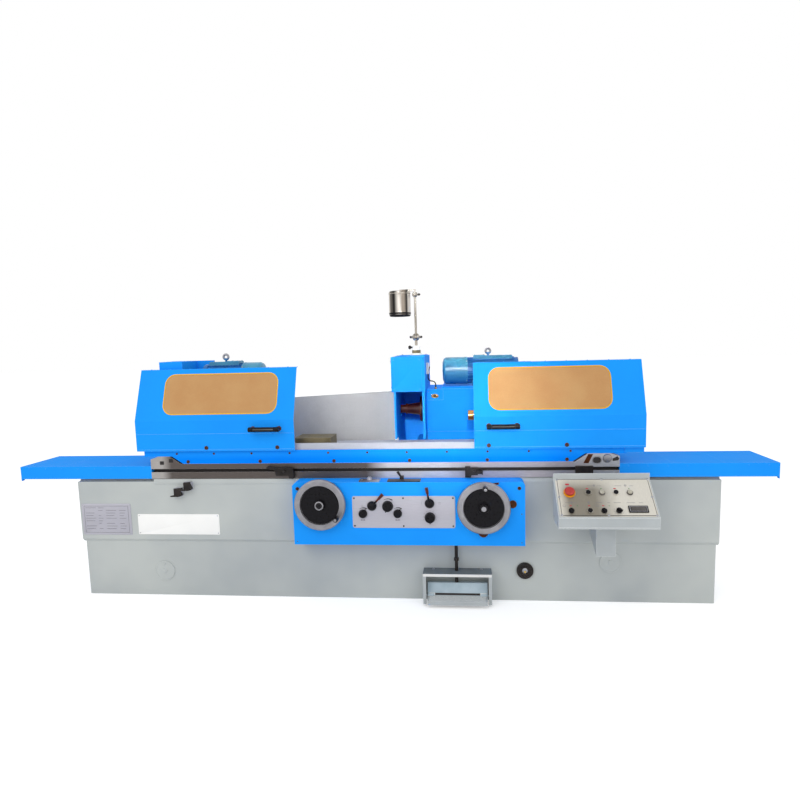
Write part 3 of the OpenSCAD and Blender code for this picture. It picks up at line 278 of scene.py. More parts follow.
def make_finishes(colours):
    """Every finish of the machine, each keyed by the slot in the record that it serves."""
    blue, grey = colours.blue, colours.grey
    made = {}
    # Two-pack machine enamel, sprayed: satin, with faint orange peel and paler edges
    # The paler edges are part wear and part painted highlight
    made["blue_paint"] = finish(
        "blue_machine_enamel", blue, drift=0.04, grain=3, bump=0.03, edge="#6FBBFF", edge_size=2,
        roughness=0.6, specular=0.04)
    # The same enamel, a deeper shade, on the table's front strip
    finish(
        "deep_blue_enamel", "#0084FF", drift=0.05, patch=240, grain=3, bump=0.03, roughness=0.55,
        specular=0.04, fade=[(2, 885, 915, "#1492FF")])
    # The same enamel where no light reaches it: a deeper blue inside the wheel guard
    finish(
        "blue_enamel_painted_shade", "#0A95FF", drift=0.05, grain=3, bump=0.03, roughness=0.5,
        specular=0.25)
    # Enamel brushed over filled cast iron: dull, cloudy grey with a little orange peel
    made["bed_paint"] = finish(
        "grey_machine_enamel", colours.shade, second=grey, patch=620, drift=0.0, grain=6,
        bump=0.08, edge="#CDD3D3", edge_size=2.5, roughness=0.55, specular=0.35)
    # Sprayed enamel on pressed sheet: glossier than the heads' enamel
    # Darker toward the bottom of the fan covers: painted shade
    made["motor_paint"] = finish(
        "motor_enamel", colours.motor, second="#2F7FA6", patch=120, drift=0.02, grain=3, bump=0.03,
        edge="#7CC6E4", roughness=0.28, specular=0.5, fade=[(2, 1420, 1290, "#2A6E9C")])
    # Enamel on rough cast aluminium: darker, with sand grain showing through
    finish(
        "fin_enamel", colours.fins, drift=0.15, patch=40, grain=2, bump=0.08, edge="#4C93CC",
        edge_size=1, roughness=0.45, specular=0.4)
    # Tool steel ground along its length: bright, with lines that run along the table
    made["ground_steel"] = finish(
        "ground_tool_steel", "#C0C4CF", second="#B6BAC4", patch=500, drift=0.04, grain=1.6,
        bump=0.01, stretch=(0.04, 1, 1), smear=0.05, edge="#DADDE6", roughness=0.45, metallic=0.25,
        specular=0.15)
    # Cast iron planed along its length: dark brown grey in patches, with lighter grey bands set
    # along it
    made["table_iron"] = finish(
        "planed_cast_iron", "#4C4644", second="#6C6460", patch=420, drift=0.05, grain=2, bump=0.02,
        stretch=(0.05, 1, 1), smear=0.14, edge="#C8C4C2", edge_size=2, roughness=0.45,
        metallic=0.8, fade=[
            (0, -60, 70, "#C0C1C7"), (0, 400, 520, "#A5A2AA"), (0, 1150, 1250, "#B4B5BA"),
            (0, -1290, -1350, "#ACA8A5")])
    # Turned and brushed steel: soft even sheen
    made["bright_steel"] = finish(
        "turned_steel", "#8F8E93", second="#A2A1A6", patch=60, drift=0.04, grain=1.2, bump=0.01,
        smear=0.06, edge="#D8D8DC", roughness=0.42, metallic=0.9)
    # Hardened spindle steel browned by heat and oil: dark red-brown with a sharp highlight
    made["spindle_steel"] = finish(
        "oiled_spindle_steel", "#4A1206", second="#340C04", patch=200, drift=0.05, grain=1.5,
        bump=0.01, stretch=(1, 0.2, 0.2), edge="#8A3418", roughness=0.35, specular=0.3, coat=0.25)
    # Steel blackened in hot oil: near black with a brown cast, pale at its edges
    # The pale edges are part wear and part painted highlight
    made["dark_steel"] = finish(
        "blackened_steel", "#1B1716", second="#2A2422", patch=40, grain=1.5, bump=0.03, smear=0.1,
        edge="#5D5651", roughness=0.42, metallic=0.2, specular=0.3)
    # Ground steel gone olive under old oil
    made["olive_steel"] = finish(
        "oil_stained_steel", "#6E6449", second="#8A7F62", patch=90, grain=2, bump=0.02,
        stretch=(1, 0.1, 1), smear=0.08, edge="#B0A888", roughness=0.45, metallic=0.5)
    # Varnish over steel: warm brown screws and caps with a glossy face
    made["brown_paint"] = finish(
        "brown_varnish", "#40200A", second="#54290A", patch=20, grain=1.5, bump=0.02,
        edge="#A8681C", edge_size=2, roughness=0.4, specular=0.12)
    # Aluminium plate brushed along its length and clear anodised: pale lilac grey
    made["plate_metal"] = finish(
        "brushed_aluminium", "#BDBCC6", second="#B3B2BC", patch=260, drift=0.03, grain=1.5,
        bump=0.01, stretch=(0.03, 1, 1), smear=0.05, edge="#CFCED6", roughness=0.5, metallic=0.45)
    # Turned bronze: warm brown, polished where it slides
    made["quill_bronze"] = finish(
        "turned_bronze", "#A8642C", second="#D7A25A", patch=30, grain=1.2, bump=0.01,
        stretch=(0.3, 1, 1), smear=0.08, roughness=0.22, metallic=0.9)
    # Stainless sheet brushed up the slope: warm beige grey with faint streaks, and a painted dark
    # reflection over the lower left of the panel
    panel, cream = reach("console_panel")[0], "#D2CEC3"
    made["console_steel"] = finish(
        "brushed_stainless", cream, second="#C6C1B4", patch=190, drift=0.02, grain=1.4, bump=0.01,
        stretch=(1, 0.08, 0.08), smear=0.07, edge="#F2EEE4", roughness=0.4, metallic=0.4, fade=[
            (0, panel.x + 15, panel.x + 60, "#857F72"), (0, panel.x + 200, panel.x + 320, cream),
            (2, panel.z + 112, panel.z + 168, cream)])
    # Galvanised sheet, dulled: flat mid grey with a faint spangle
    # Lighter at the left, darker to the right: painted to offset the left hood's shadow and the
    # wheelhead lamp
    made["zinc_sheet"] = finish(
        "galvanised_sheet", "#D8D8D8", second="#D2D2D2", patch=60, drift=0.02, grain=12, bump=0.01,
        smear=0.02, roughness=0.6, metallic=0.1, specular=0.3, fade=[(0, -370, -40, "#B1B1B1")])
    # Light grey enamel on folded sheet with bright edges, part wear and part painted highlight
    made["pedal_paint"] = finish(
        "light_grey_enamel", "#B0B6B8", drift=0.04, patch=120, grain=3, bump=0.03, edge="#ECEEEE",
        edge_size=3, roughness=0.5, specular=0.35)
    # The same enamel darkened as painted shade, on the pedal frame's top
    finish(
        "painted_shade_enamel", "#7C8282", second="#6B7070", patch=120, drift=0.06, grain=3, bump=0.03,
        roughness=0.7, specular=0.1)
    # Enamelled tread plate, scuffed by boots
    made["pedal_plate"] = finish(
        "scuffed_tread_plate", "#A9BECA", second="#B9CAD4", patch=90, drift=0.06, grain=3,
        bump=0.06, smear=0.05, edge="#DDE4E9", edge_size=2, roughness=0.45)
    # Kraft board: matt tan paper with visible fibres, drawn 3 mm long to show
    made["window_film"] = finish(
        "kraft_board", colours.board, second="#BE9060", patch=180, drift=0.03, grain=3, bump=0.05,
        smear=0.05, roughness=0.85, specular=0.15)
    # Phenolic moulding: glossy black
    made["black_plastic"] = finish(
        "black_phenolic", "#131215", second="#19181C", patch=12, drift=0.1, grain=0.8, bump=0.005,
        edge="#3A3734", edge_size=1, roughness=0.3, specular=0.12)
    # The same moulding in grey: bezels, display slats and a painted highlight along the hood
    # handles' bars
    finish(
        "grey_phenolic", "#4A4643", second="#6B6663", patch=60, drift=0.1, grain=1, bump=0.01,
        stretch=(0.3, 1, 1), roughness=0.4, specular=0.3)
    # Phenolic moulding in red-brown, as on lever handles
    finish(
        "brown_phenolic", "#4E1C06", second="#64280A", patch=14, drift=0.1, grain=0.8, bump=0.01,
        edge="#7A3A14", edge_size=1, roughness=0.35, specular=0.25)
    # Moulded urea caps: cream, slightly yellowed
    made["cream_plastic"] = finish(
        "cream_urea", "#BDB9A9", second="#A29E8E", patch=10, grain=0.8, bump=0.01, edge="#F0EBDD",
        edge_size=1, roughness=0.35)
    # Moulded ABS: warm red, satin top
    made["red_plastic"] = finish(
        "red_abs", "#B92C24", second="#A62420", patch=14, drift=0.04, grain=1, bump=0.02,
        edge="#E9776C", edge_size=1, roughness=0.4)
    # White powder coat on the lamp's foot: fine even texture
    made["lamp_metal"] = finish(
        "white_powder_coat", "#E6E6E4", drift=0.02, patch=40, grain=1, bump=0.02, edge="#FFFFFF",
        edge_size=1, roughness=0.45)
    # Nickel plated steel: warm silver, darker in bands round the arm
    made["lamp_steel"] = finish(
        "nickel_plated_steel", "#8F877C", second="#D2CCC2", patch=16, drift=0.1, grain=1,
        bump=0.005, stretch=(1, 1, 0.05), roughness=0.25, metallic=0.9)
    # Chromed sheet shade, polished upright: dark and bright bands round it are painted reflections
    made["shade_chrome"] = finish(
        "chromed_shade", "#CFC8BE", patch=62, drift=0.05, grain=1, bump=0.001,
        stretch=(1, 1, 0.01), roughness=0.35, metallic=0.6, fade=[
            (0, 62, 70, "#5E5750"), (0, 78, 90, "#15120F"), (0, 98, 122, "#D5CEC6"),
            (0, 130, 148, "#8F8478"), (0, 160, 173, "#2A2520"), (0, 176, 184, "#D8D2CA")])
    # Brass: warm yellow with a soft polish
    finish(
        "polished_brass", "#B98A34", second="#E0C07A", patch=14, drift=0.1, grain=1, bump=0.01,
        edge="#F3DFA8", edge_size=1, roughness=0.25, metallic=0.9)
    # Zinc plated screws and washers: bluish silver
    finish(
        "zinc_plated_steel", "#B9BBC0", second="#9C9DA2", patch=8, drift=0.05, grain=1, bump=0.01,
        edge="#E2E3E8", edge_size=1, roughness=0.35, metallic=0.9)
    # Anodised edging round the windows: golden yellow
    finish(
        "gold_edging", colours.edging, drift=0.06, patch=30, grain=1, bump=0.01, roughness=0.4,
        metallic=0.2)
    # Screen-printed ink, black, on plates
    finish("black_ink", "#2A282C", drift=0.1, patch=5, grain=0.8, bump=0.003, roughness=0.6)
    # Screen-printed ink, worn pale
    finish("faded_ink", "#72717A", drift=0.1, patch=5, grain=0.8, bump=0.003, roughness=0.6)
    # Red and green inks beside the buttons
    finish("red_ink", "#B81E2E", drift=0.06, patch=6, grain=0.8, bump=0.003, roughness=0.5)
    finish("green_ink", "#2C7B3A", drift=0.06, patch=6, grain=0.8, bump=0.003, roughness=0.5)
    # Amber ABS of the emergency stop's collar
    finish(
        "amber_abs", "#E8960E", drift=0.05, patch=14, grain=1, bump=0.02, edge="#FFC65C",
        edge_size=1, roughness=0.4)
    # White enamel on a blank name plate
    finish(
        "white_enamel_plate", "#F7F7F5", drift=0.01, patch=90, grain=2, bump=0.01, edge="#FFFFFF",
        edge_size=1, roughness=0.4, specular=0.35)
    # Smoked acrylic over the number display
    finish(
        "smoked_acrylic", "#34312F", drift=0.1, patch=20, grain=1, bump=0.003, roughness=0.12,
        specular=0.6)
    # Matt near black in slots, louvres and screw holes: old oil, and painted shade in the hollows
    finish(
        "oil_and_painted_shade", "#1E1B1C", second="#35302F", patch=150, drift=0.1, grain=2, bump=0.03,
        stretch=(0.1, 1, 1), roughness=0.55, metallic=0.3)
    return made


# ---- Drawing pieces ----


def ring(radius, z, sides=32, x=0, y=0, flat=0):
    """A ring of points, six-sided where flat is 1."""
    points = []
    for i in range(sides):
        angle = 2 * math.pi * i / sides
        inner = math.cos(math.pi / 6) / math.cos((angle % (math.pi / 3)) - math.pi / 6)
        size = radius * (1 + flat * (inner - 1))
        points.append((x + size * math.cos(angle), y + size * math.sin(angle), z))
    return points


def rounded(x, y, radius, steps=6):
    """The outline of a rectangle with round corners."""
    corners = [(x[1], y[0], -90), (x[1], y[1], 0), (x[0], y[1], 90), (x[0], y[0], 180)]
    points = []
    for corner_x, corner_y, start in corners:
        mid_x = corner_x - math.copysign(radius, corner_x - (x[0] + x[1]) / 2)
        mid_y = corner_y - math.copysign(radius, corner_y - (y[0] + y[1]) / 2)
        for i in range(steps + 1):
            angle = math.radians(start + 90 * i / steps)
            points.append((mid_x + radius * math.cos(angle), mid_y + radius * math.sin(angle)))
    return points


def square(x, y):
    """The outline of a rectangle with sharp corners."""
    return [(x[0], y[0]), (x[1], y[0]), (x[1], y[1]), (x[0], y[1])]


def oval(x, y, half_width, half_height):
    """The outline of an oval about a point."""
    return [(x + half_width * c, y + half_height * s) for c, s in around(40)]


class Piece:
    """One piece, whose faces are drawn in millimetres on placed planes."""

    def __init__(self, *finishes):
        self.mesh = bmesh.new()
        self.finishes = finishes

    def loft(self, place, rings, coat=0, ends=True, loop=False):
        """A skin over rings of points. coat is one finish, or one for each band."""
        rows = [[self.mesh.verts.new(place @ Vector(p)) for p in points] for points in rings]
        bands = list(zip(rows, rows[1:]))
        if loop:
            bands.append((rows[-1], rows[0]))
        coats = coat if isinstance(coat, (list, tuple)) else [coat] * len(bands)
        for (a, b), index in zip(bands, coats):
            count = max(len(a), len(b))
            for i in range(count):
                j = (i + 1) % count
                corners = [a[i % len(a)], a[j % len(a)], b[j % len(b)], b[i % len(b)]]
                face = self.mesh.faces.new(list(dict.fromkeys(corners)))
                face.material_index = index
        if ends and not loop:
            for row, index in ((rows[0][::-1], coats[0]), (rows[-1], coats[-1])):
                if len(row) > 2:
                    self.mesh.faces.new(row).material_index = index

    def turned(self, place, profile, coat=0, sides=32, x=0, y=0, flat=0):
        """A turned form from pairs of radius and height."""
        rings = [ring(r, z, sides, x, y, flat) if r else [(x, y, z)] for r, z in profile]
        self.loft(place, rings, coat)

    def slab(self, place, outline, low, high, coat=0, chamfer=0):
        """An outline drawn out between two heights, with a chamfer at the top."""
        mid = sum((Vector((p[0], p[1], 0)) for p in outline), Vector()) / len(outline)
        size = [max(abs(p[i] - mid[i]) for p in outline) for i in (0, 1)]
        top = [(mid.x + (p[0] - mid.x) * (1 - chamfer / size[0]),
                mid.y + (p[1] - mid.y) * (1 - chamfer / size[1]), high) for p in outline]
        rings = [[(p[0], p[1], low) for p in outline]]
        if chamfer:
            rings.append([(p[0], p[1], high - chamfer) for p in outline])
        self.loft(place, rings + [top], coat)

    def border(self, place, outer, inner, low, high, coat=0):
        """A frame between two outlines."""
        self.loft(place, [[(p[0], p[1], z) for p in points] for points, z in (
            (outer, low), (outer, high), (inner, high), (inner, low))], coat, loop=True)

    def dash(self, place, x, y, size, corner, heights, coat=0):
        """A printed dash or dot about a point."""
        wide, tall = size
        self.slab(place, rounded((x - wide / 2, x + wide / 2), (y - tall / 2, y + tall / 2),
                                 corner, steps=2), *heights, coat)

    def bead(self, place, section, at, ends, upright=False):
        """A bead of one section that runs across a plane, or up it."""
        self.loft(place, [[(at + a, end, b) if upright else (end, at + a, b) for a, b in section]
                          for end in ends])

    def screw(self, place, x, y, radius, height, z=0, coat=0, hole=1):
        """A socket-head screw: chamfered head with a six-sided hole."""
        rim, depth, socket = radius * 0.25, z + height * 0.45, radius * 0.55
        rings = [ring(r, up, 12, x, y, flat) for r, up, flat in (
            (radius, z, 0), (radius, z + height - rim, 0), (radius - rim, z + height, 0),
            (socket, z + height, 1), (socket, depth, 1))]
        self.loft(place, rings, [coat, coat, coat, hole])

    def bolt(self, place, x, y, radius, z=0, coat=0):
        """A hexagon bolt on its washer."""
        washer = z + radius * 0.2
        self.turned(place, [(radius * 1.35, z), (radius * 1.35, washer)], coat, 16, x, y)
        self.turned(place, [(radius, washer), (radius, z + radius * 0.75),
                            (radius * 0.8, z + radius * 0.9)], coat, 12, x, y, 1)

    def screws(self, place, across, up, radius, height, z=0, coat=0, hole=1):
        """Screws wherever a place across meets a place up."""
        for x in across:
            for y in up:
                self.screw(place, x, y, radius, height, z, coat, hole)

    def cover(self, place, x, y, corner, thick, inset, rows=2, columns=3, screw=6):
        """A sheet cover, and screws in rows and columns a little in from its edges."""
        self.slab(place, rounded(x, y, corner), -0.5, thick, 0, 1)
        self.screws(place, spread(x[0] + inset[0], x[1] - inset[0], columns),
                    spread(y[0] + inset[1], y[1] - inset[1], rows), screw, 4, thick, 1, 2)

    def ride(self, name, body):
        """Finishes the piece and fixes it to a body."""
        bmesh.ops.recalc_face_normals(self.mesh, faces=self.mesh.faces)
        data = bpy.data.meshes.new(name)
        self.mesh.to_mesh(data)
        self.mesh.free()
        for coat in self.finishes:
            data.materials.append(bpy.data.materials[coat])
        data.shade_smooth()
        data.set_sharp_from_angle(angle=math.radians(38))
        piece = bpy.data.objects.new(name, data)
        bpy.context.scene.collection.objects.link(piece)
        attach(piece, body)
        return piece


class GrinderStep:
    """What every step of the dressing has in common."""

    bl_options = {"REGISTER", "UNDO"}

    def execute(self, context):
        """Runs the step."""
        self.make(context.scene.grinder_sizes, context.scene.grinder_colours)
        return {"FINISHED"}


class GRINDER_OT_finishes(GrinderStep, bpy.types.Operator):
    """Makes the finishes and gives them to the machine's parts"""

    bl_idname = "grinder.finishes"
    bl_label = "Finishes"

    def make(self, sizes, colours):
        made = make_finishes(colours)
        for part in frame["nodes"].values():
            slot = part.data.materials[0].name.split(".")[0]
            part.data.materials[0] = made[slot]
        for node, name in (
                ("front_strip", "deep_blue_enamel"), ("upper_table", "ground_tool_steel"),
                ("console_box", "light_grey_enamel")):
            coat_faces(node, name, lambda c, n: True)
        self.coat_hoods()
        self.coat_apron()
        self.coat_pedal()
        self.coat_bed_and_table()
        self.coat_wheelhead()
        self.coat_lamp()
        self.coat_motors()
        self.coat_console()

    def coat_hoods(self):
        """Black handles, with a painted grey highlight along the front of the bar."""
        for node in ("left_hood", "right_hood"):
            low, high = reach(node)
            handle = [v.co.x * 1000 for v in frame["nodes"][node].data.vertices
                      if v.co.y * 1000 < low.y + HOOD_FACE - 2]
            highlight_span = (min(handle) + 24, max(handle) - 24)
            coat_faces(node, "black_phenolic", lambda c, n: c.y < low.y + HOOD_FACE - 1)
            coat_faces(node, "grey_phenolic", lambda c, n: (
                c.y < low.y + 19 and n.y < -0.93 and highlight_span[0] < c.x < highlight_span[1]))

    def coat_apron(self):
        """Black discs of the handwheels, steel grip ends, brown levers and the clamp block."""
        front = reach("apron_housing")[0].y
        hub, rim, stem = 26.5, 114, 46
        for name in ("table", "infeed"):
            at = pivot(name + "_wheel_turn")
            coat_faces(name + "_handwheel", "black_phenolic", lambda c, n: (
                hub < math.hypot(c.x - at.x, c.z - at.z) < rim and c.y < front - 15))
            back = reach(name + "_crank_grip")[1].y
            coat_faces(name + "_crank_grip", "turned_steel", lambda c, n: c.y > back - 9)
        for lever in ("left_lever", "right_lever"):
            at = pivot(lever + "_turn")
            coat_faces(lever, "brown_phenolic", lambda c, n: (
                math.hypot(c.x - at.x, c.z - at.z) > stem))
        low = reach("apron_plates")[0]
        blocks, block_top, between = low.z + 200, low.z + 282, 60
        coat_faces("apron_plates", "blackened_steel", lambda c, n: c.z > blocks and c.x > between)
        coat_faces("apron_plates", "planed_cast_iron", lambda c, n: (
            blocks < c.z < block_top and c.x < between))
        coat_faces("apron_plates", "black_phenolic", lambda c, n: c.y < low.y + 1.9)
        ball = pivot("reverse_lever_turn")
        coat_faces("reverse_lever", "polished_brass", lambda c, n: (c - ball).length < 16)

    def coat_pedal(self):
        """The tread plate's grey flange, and the frame's top darkened as painted shade."""
        axle = pivot("treadle_press")
        coat_faces("pedal_treadle", "light_grey_enamel", lambda c, n: (
            c.y < axle.y - 1 and c.z < axle.z))
        coat_faces("pedal_frame", "painted_shade_enamel", lambda c, n: n.z > 0.9)

    def coat_bed_and_table(self):
        """The dogs' slot, the name plate, the hooks, the round covers and the oil gauge."""
        low = reach("lower_table")[0]
        # The dogs' slot near black: oil and painted shade in the groove
        coat_faces("lower_table", "oil_and_painted_shade", lambda c, n: (
            TABLE_FRONT + 0.4 < c.y < TABLE_FRONT + 40 and low.z + 30 < c.z < low.z + 72))
        coat_faces("lower_table", "blackened_steel", lambda c, n: c.y < TABLE_FRONT - 0.5)
        bed_front = reach("bed_fittings")[0].y
        gauge, plate_x, plate_z = (820, 940), (-1540, -1000), (400, 540)
        for name, test in (
                ("blackened_steel", lambda c, n: c.y < bed_front + 23.5 and c.z > 600),
                ("white_enamel_plate", lambda c, n: (
                    plate_z[0] < c.z < plate_z[1] and plate_x[0] < c.x < plate_x[1])),
                ("grey_machine_enamel", lambda c, n: (
                    c.z < 330 and not gauge[0] < c.x < gauge[1])),
                ("blackened_steel", lambda c, n: c.z < 260 and gauge[0] < c.x < gauge[1])):
            coat_faces("bed_fittings", name, test)

    def coat_wheelhead(self):
        """Blue sides of the cross slide, and a deeper blue of painted shade inside the wheel
        guard.
        """
        slide = reach("cross_slide")[0]
        coat_faces("cross_slide", "blue_machine_enamel", lambda c, n: c.z > slide.z + 1)
        low, high = reach("wheel_guard")
        coat_faces("wheel_guard", "blue_enamel_painted_shade", lambda c, n: (
            low.x + 20 < c.x < high.x - 15 and low.y + 1 < c.y < high.y - 5
            and c.z < high.z - 15))

    def coat_lamp(self):
        """The lamp's foot, its switch box, lead and gland."""
        low, top = reach("lamp_base")[0], reach("wheel_guard")[1].z
        shade, shade_end = reach("lamp_shade")
        cap_x, cap_y, cap_radius = shade.x + SHADE_RADIUS, (shade.y + shade_end.y) / 2, 21
        for name, test in (
                ("light_grey_enamel", lambda c, n: top - 130 < c.z < top),
                ("black_phenolic", lambda c, n: c.z <= low.z + 106),
                ("polished_brass", lambda c, n: c.z < low.z + 12.5 and c.x > 300),
                ("oil_stained_steel", lambda c, n: top + 12 < c.z < top + 32),
                ("blackened_steel", lambda c, n: c.x < 200 and top + 42 < c.z < top + 58),
                ("nickel_plated_steel", lambda c, n: c.z > top + 63)):
            coat_faces("lamp_base", name, test)
        coat_faces("lamp_shade", "black_phenolic", lambda c, n: (
            shade.z + 20 < c.z < shade.z + 149
            and math.hypot(c.x - cap_x, c.y - cap_y) < cap_radius))

    def coat_motors(self):
        """Darker fins between a motor's fan cover and its shaft end, and plain steel eyes."""
        for node in ("wheel_motor", "workhead_motor"):
            low, high, fan_left, axis = motor_layout(node)
            third = (high.x - low.x) / 3
            fins = (low.x + third + 0.5, high.x) if fan_left else (low.x, high.x - third - 0.5)
            coat_faces(node, "fin_enamel", lambda c, n: fins[0] < c.x < fins[1] and not (
                abs(c.y - axis.y) < 46 and c.z > axis.z + 80
                and max(abs(n.x), abs(n.y), n.z) > 0.99))
            coat_faces(node, "turned_steel", lambda c, n: c.z > high.z - 32)

    def coat_console(self):
        """The stop's amber collar, two grey bezels, the display's frame and the screws."""
        back = console_seat().inverted()

        def coat(name, test):
            coat_faces("console_panel", name, lambda c, n: (
                (back @ (c / 1000)).z > PANEL_SKIN and test(back @ (c / 1000))))

        for name, x, size in (("amber_abs", 75, 33), ("grey_phenolic", 248.5, 18),
                              ("grey_phenolic", 395.5, 18)):
            coat(name, lambda p: (p - Vector((x, BUTTON_ROW, 0))).xy.length < size)
        coat("black_phenolic", lambda p: 366 < p.x < 472 and 20 < p.y < 75)
        coat("zinc_plated_steel", lambda p: p.y < 16 or p.y > 236)


def motor_layout(node):
    """A motor's corners, whether its fan is at the left, and the middle of its axis."""
    low, high = reach(node)
    fan_left = node == "wheel_motor"
    foot = 10 if fan_left else 7
    return low, high, fan_left, Vector((0, (low.y + high.y) / 2, low.z + foot + MOTOR_RADIUS))


def console_seat():
    """The plane of the console's sloping seat, with its origin at the lower left corner."""
    foot = reach("console_panel")[0].z
    slope = math.radians(39)
    up = Vector((0, math.cos(slope), math.sin(slope)))
    box = reach("console_box")[0]
    return plane(Vector((box.x, box.y, foot - 4 * math.sin(slope))), RIGHT, up)


class GRINDER_OT_hoods(GrinderStep, bpy.types.Operator):
    """Adds the window edging, beads, screws and handle washers of the splash hoods"""

    bl_idname = "grinder.hoods"
    bl_label = "Splash hoods"

    def make(self, sizes, colours):
        for side, screws in (("left", (450, -108)), ("right", (85, 532))):
            low, high = reach(side + "_hood")
            face_y, crease, lean = low.y + HOOD_FACE, low.z + 189, 120
            front = front_at(face_y)
            self.add_edging(side, face_y, crease, Vector((0, lean, high.z - crease)),
                            sizes.edging * 1000)

            bead = sizes.bead * 1000
            half = bead / 2
            section = [(0, 0), (0.6 * half, 1.2), (half, 1.6), (1.4 * half, 1.2), (bead, 0)]
            trim = Piece("blue_machine_enamel", "brown_varnish", "oil_and_painted_shade")
            for z in (low.z + 105, low.z + 8):
                trim.bead(front, section, z, (low.x + 4, high.x - 4))
            for x in screws:
                at = (low.x if x > 0 else high.x) + x
                trim.screw(front, at, low.z + 20, 12, 6, coat=1, hole=2)
            rail = plane(Vector((0, face_y + lean, high.z)), RIGHT, BACK)
            for x in spread(low.x + 60, high.x - 60, 8):
                trim.screw(rail, x, 16, 4, 2.5, coat=0, hole=2)
            trim.ride(side + "_hood_trim", "hood_" + side)
            self.add_sleeves(side, low, front)

    def add_edging(self, side, face_y, crease, up, width):
        """The golden edging round a window, which lies on the leaning face."""
        pane_low, pane_high = reach(side + "_window")
        slope = plane(Vector((0, face_y, crease)), RIGHT, up)
        stretch = up.length / up.z
        outlines = []
        for grow in (0.5, 0.5 - width):
            points = rounded((pane_low.x - grow, pane_high.x + grow),
                             (pane_low.z - grow, pane_high.z + grow), 62 + grow)
            outlines.append([(x, (z - crease) * stretch) for x, z in points])
        edging = Piece("gold_edging")
        edging.border(slope, *outlines, -0.5, 1.6)
        edging.ride(side + "_window_edging", "hood_" + side)

    def add_sleeves(self, side, low, front):
        """The handle's washers and end sleeves, its long sleeve and a strip of painted highlight
        on that.
        """
        handle = [v.co.x * 1000 for v in frame["nodes"][side + "_hood"].data.vertices
                  if v.co.y * 1000 < low.y + 17]
        bar_y, bar_z = low.y + HANDLE_MIDDLE[0], low.z + HANDLE_MIDDLE[1]
        parts = Piece("brown_phenolic", "black_phenolic", "grey_phenolic")
        for x in (min(handle) + 14, max(handle) - 14):
            parts.turned(front, [(15, 0), (15, 3), (12, 5)], sides=24, x=x, y=bar_z)
            end = plane(Vector((x, bar_y, bar_z)), BACK)
            parts.turned(end, [(12.6, -13), (15, -11), (15, 11), (12.6, 13)], 1, 24)
        ends = (min(handle) + 28, max(handle) - 28)
        span = ends[1] - ends[0]
        sleeve = plane(Vector((ends[0], bar_y, bar_z)), BACK)
        parts.turned(sleeve, [(12.2, 0), (14.5, 2), (14.5, span - 2), (12.2, span)], 1, 32)
        # A grey strip along the sleeve's front: painted highlight
        parts.slab(plane(Vector((0, bar_y - 14.2, bar_z))),
                   rounded((ends[0] + 4, ends[1] - 4), (-1, 5), 2), 0, 1, 2, 0.4)
        parts.ride(side + "_handle_washers", "hood_" + side)


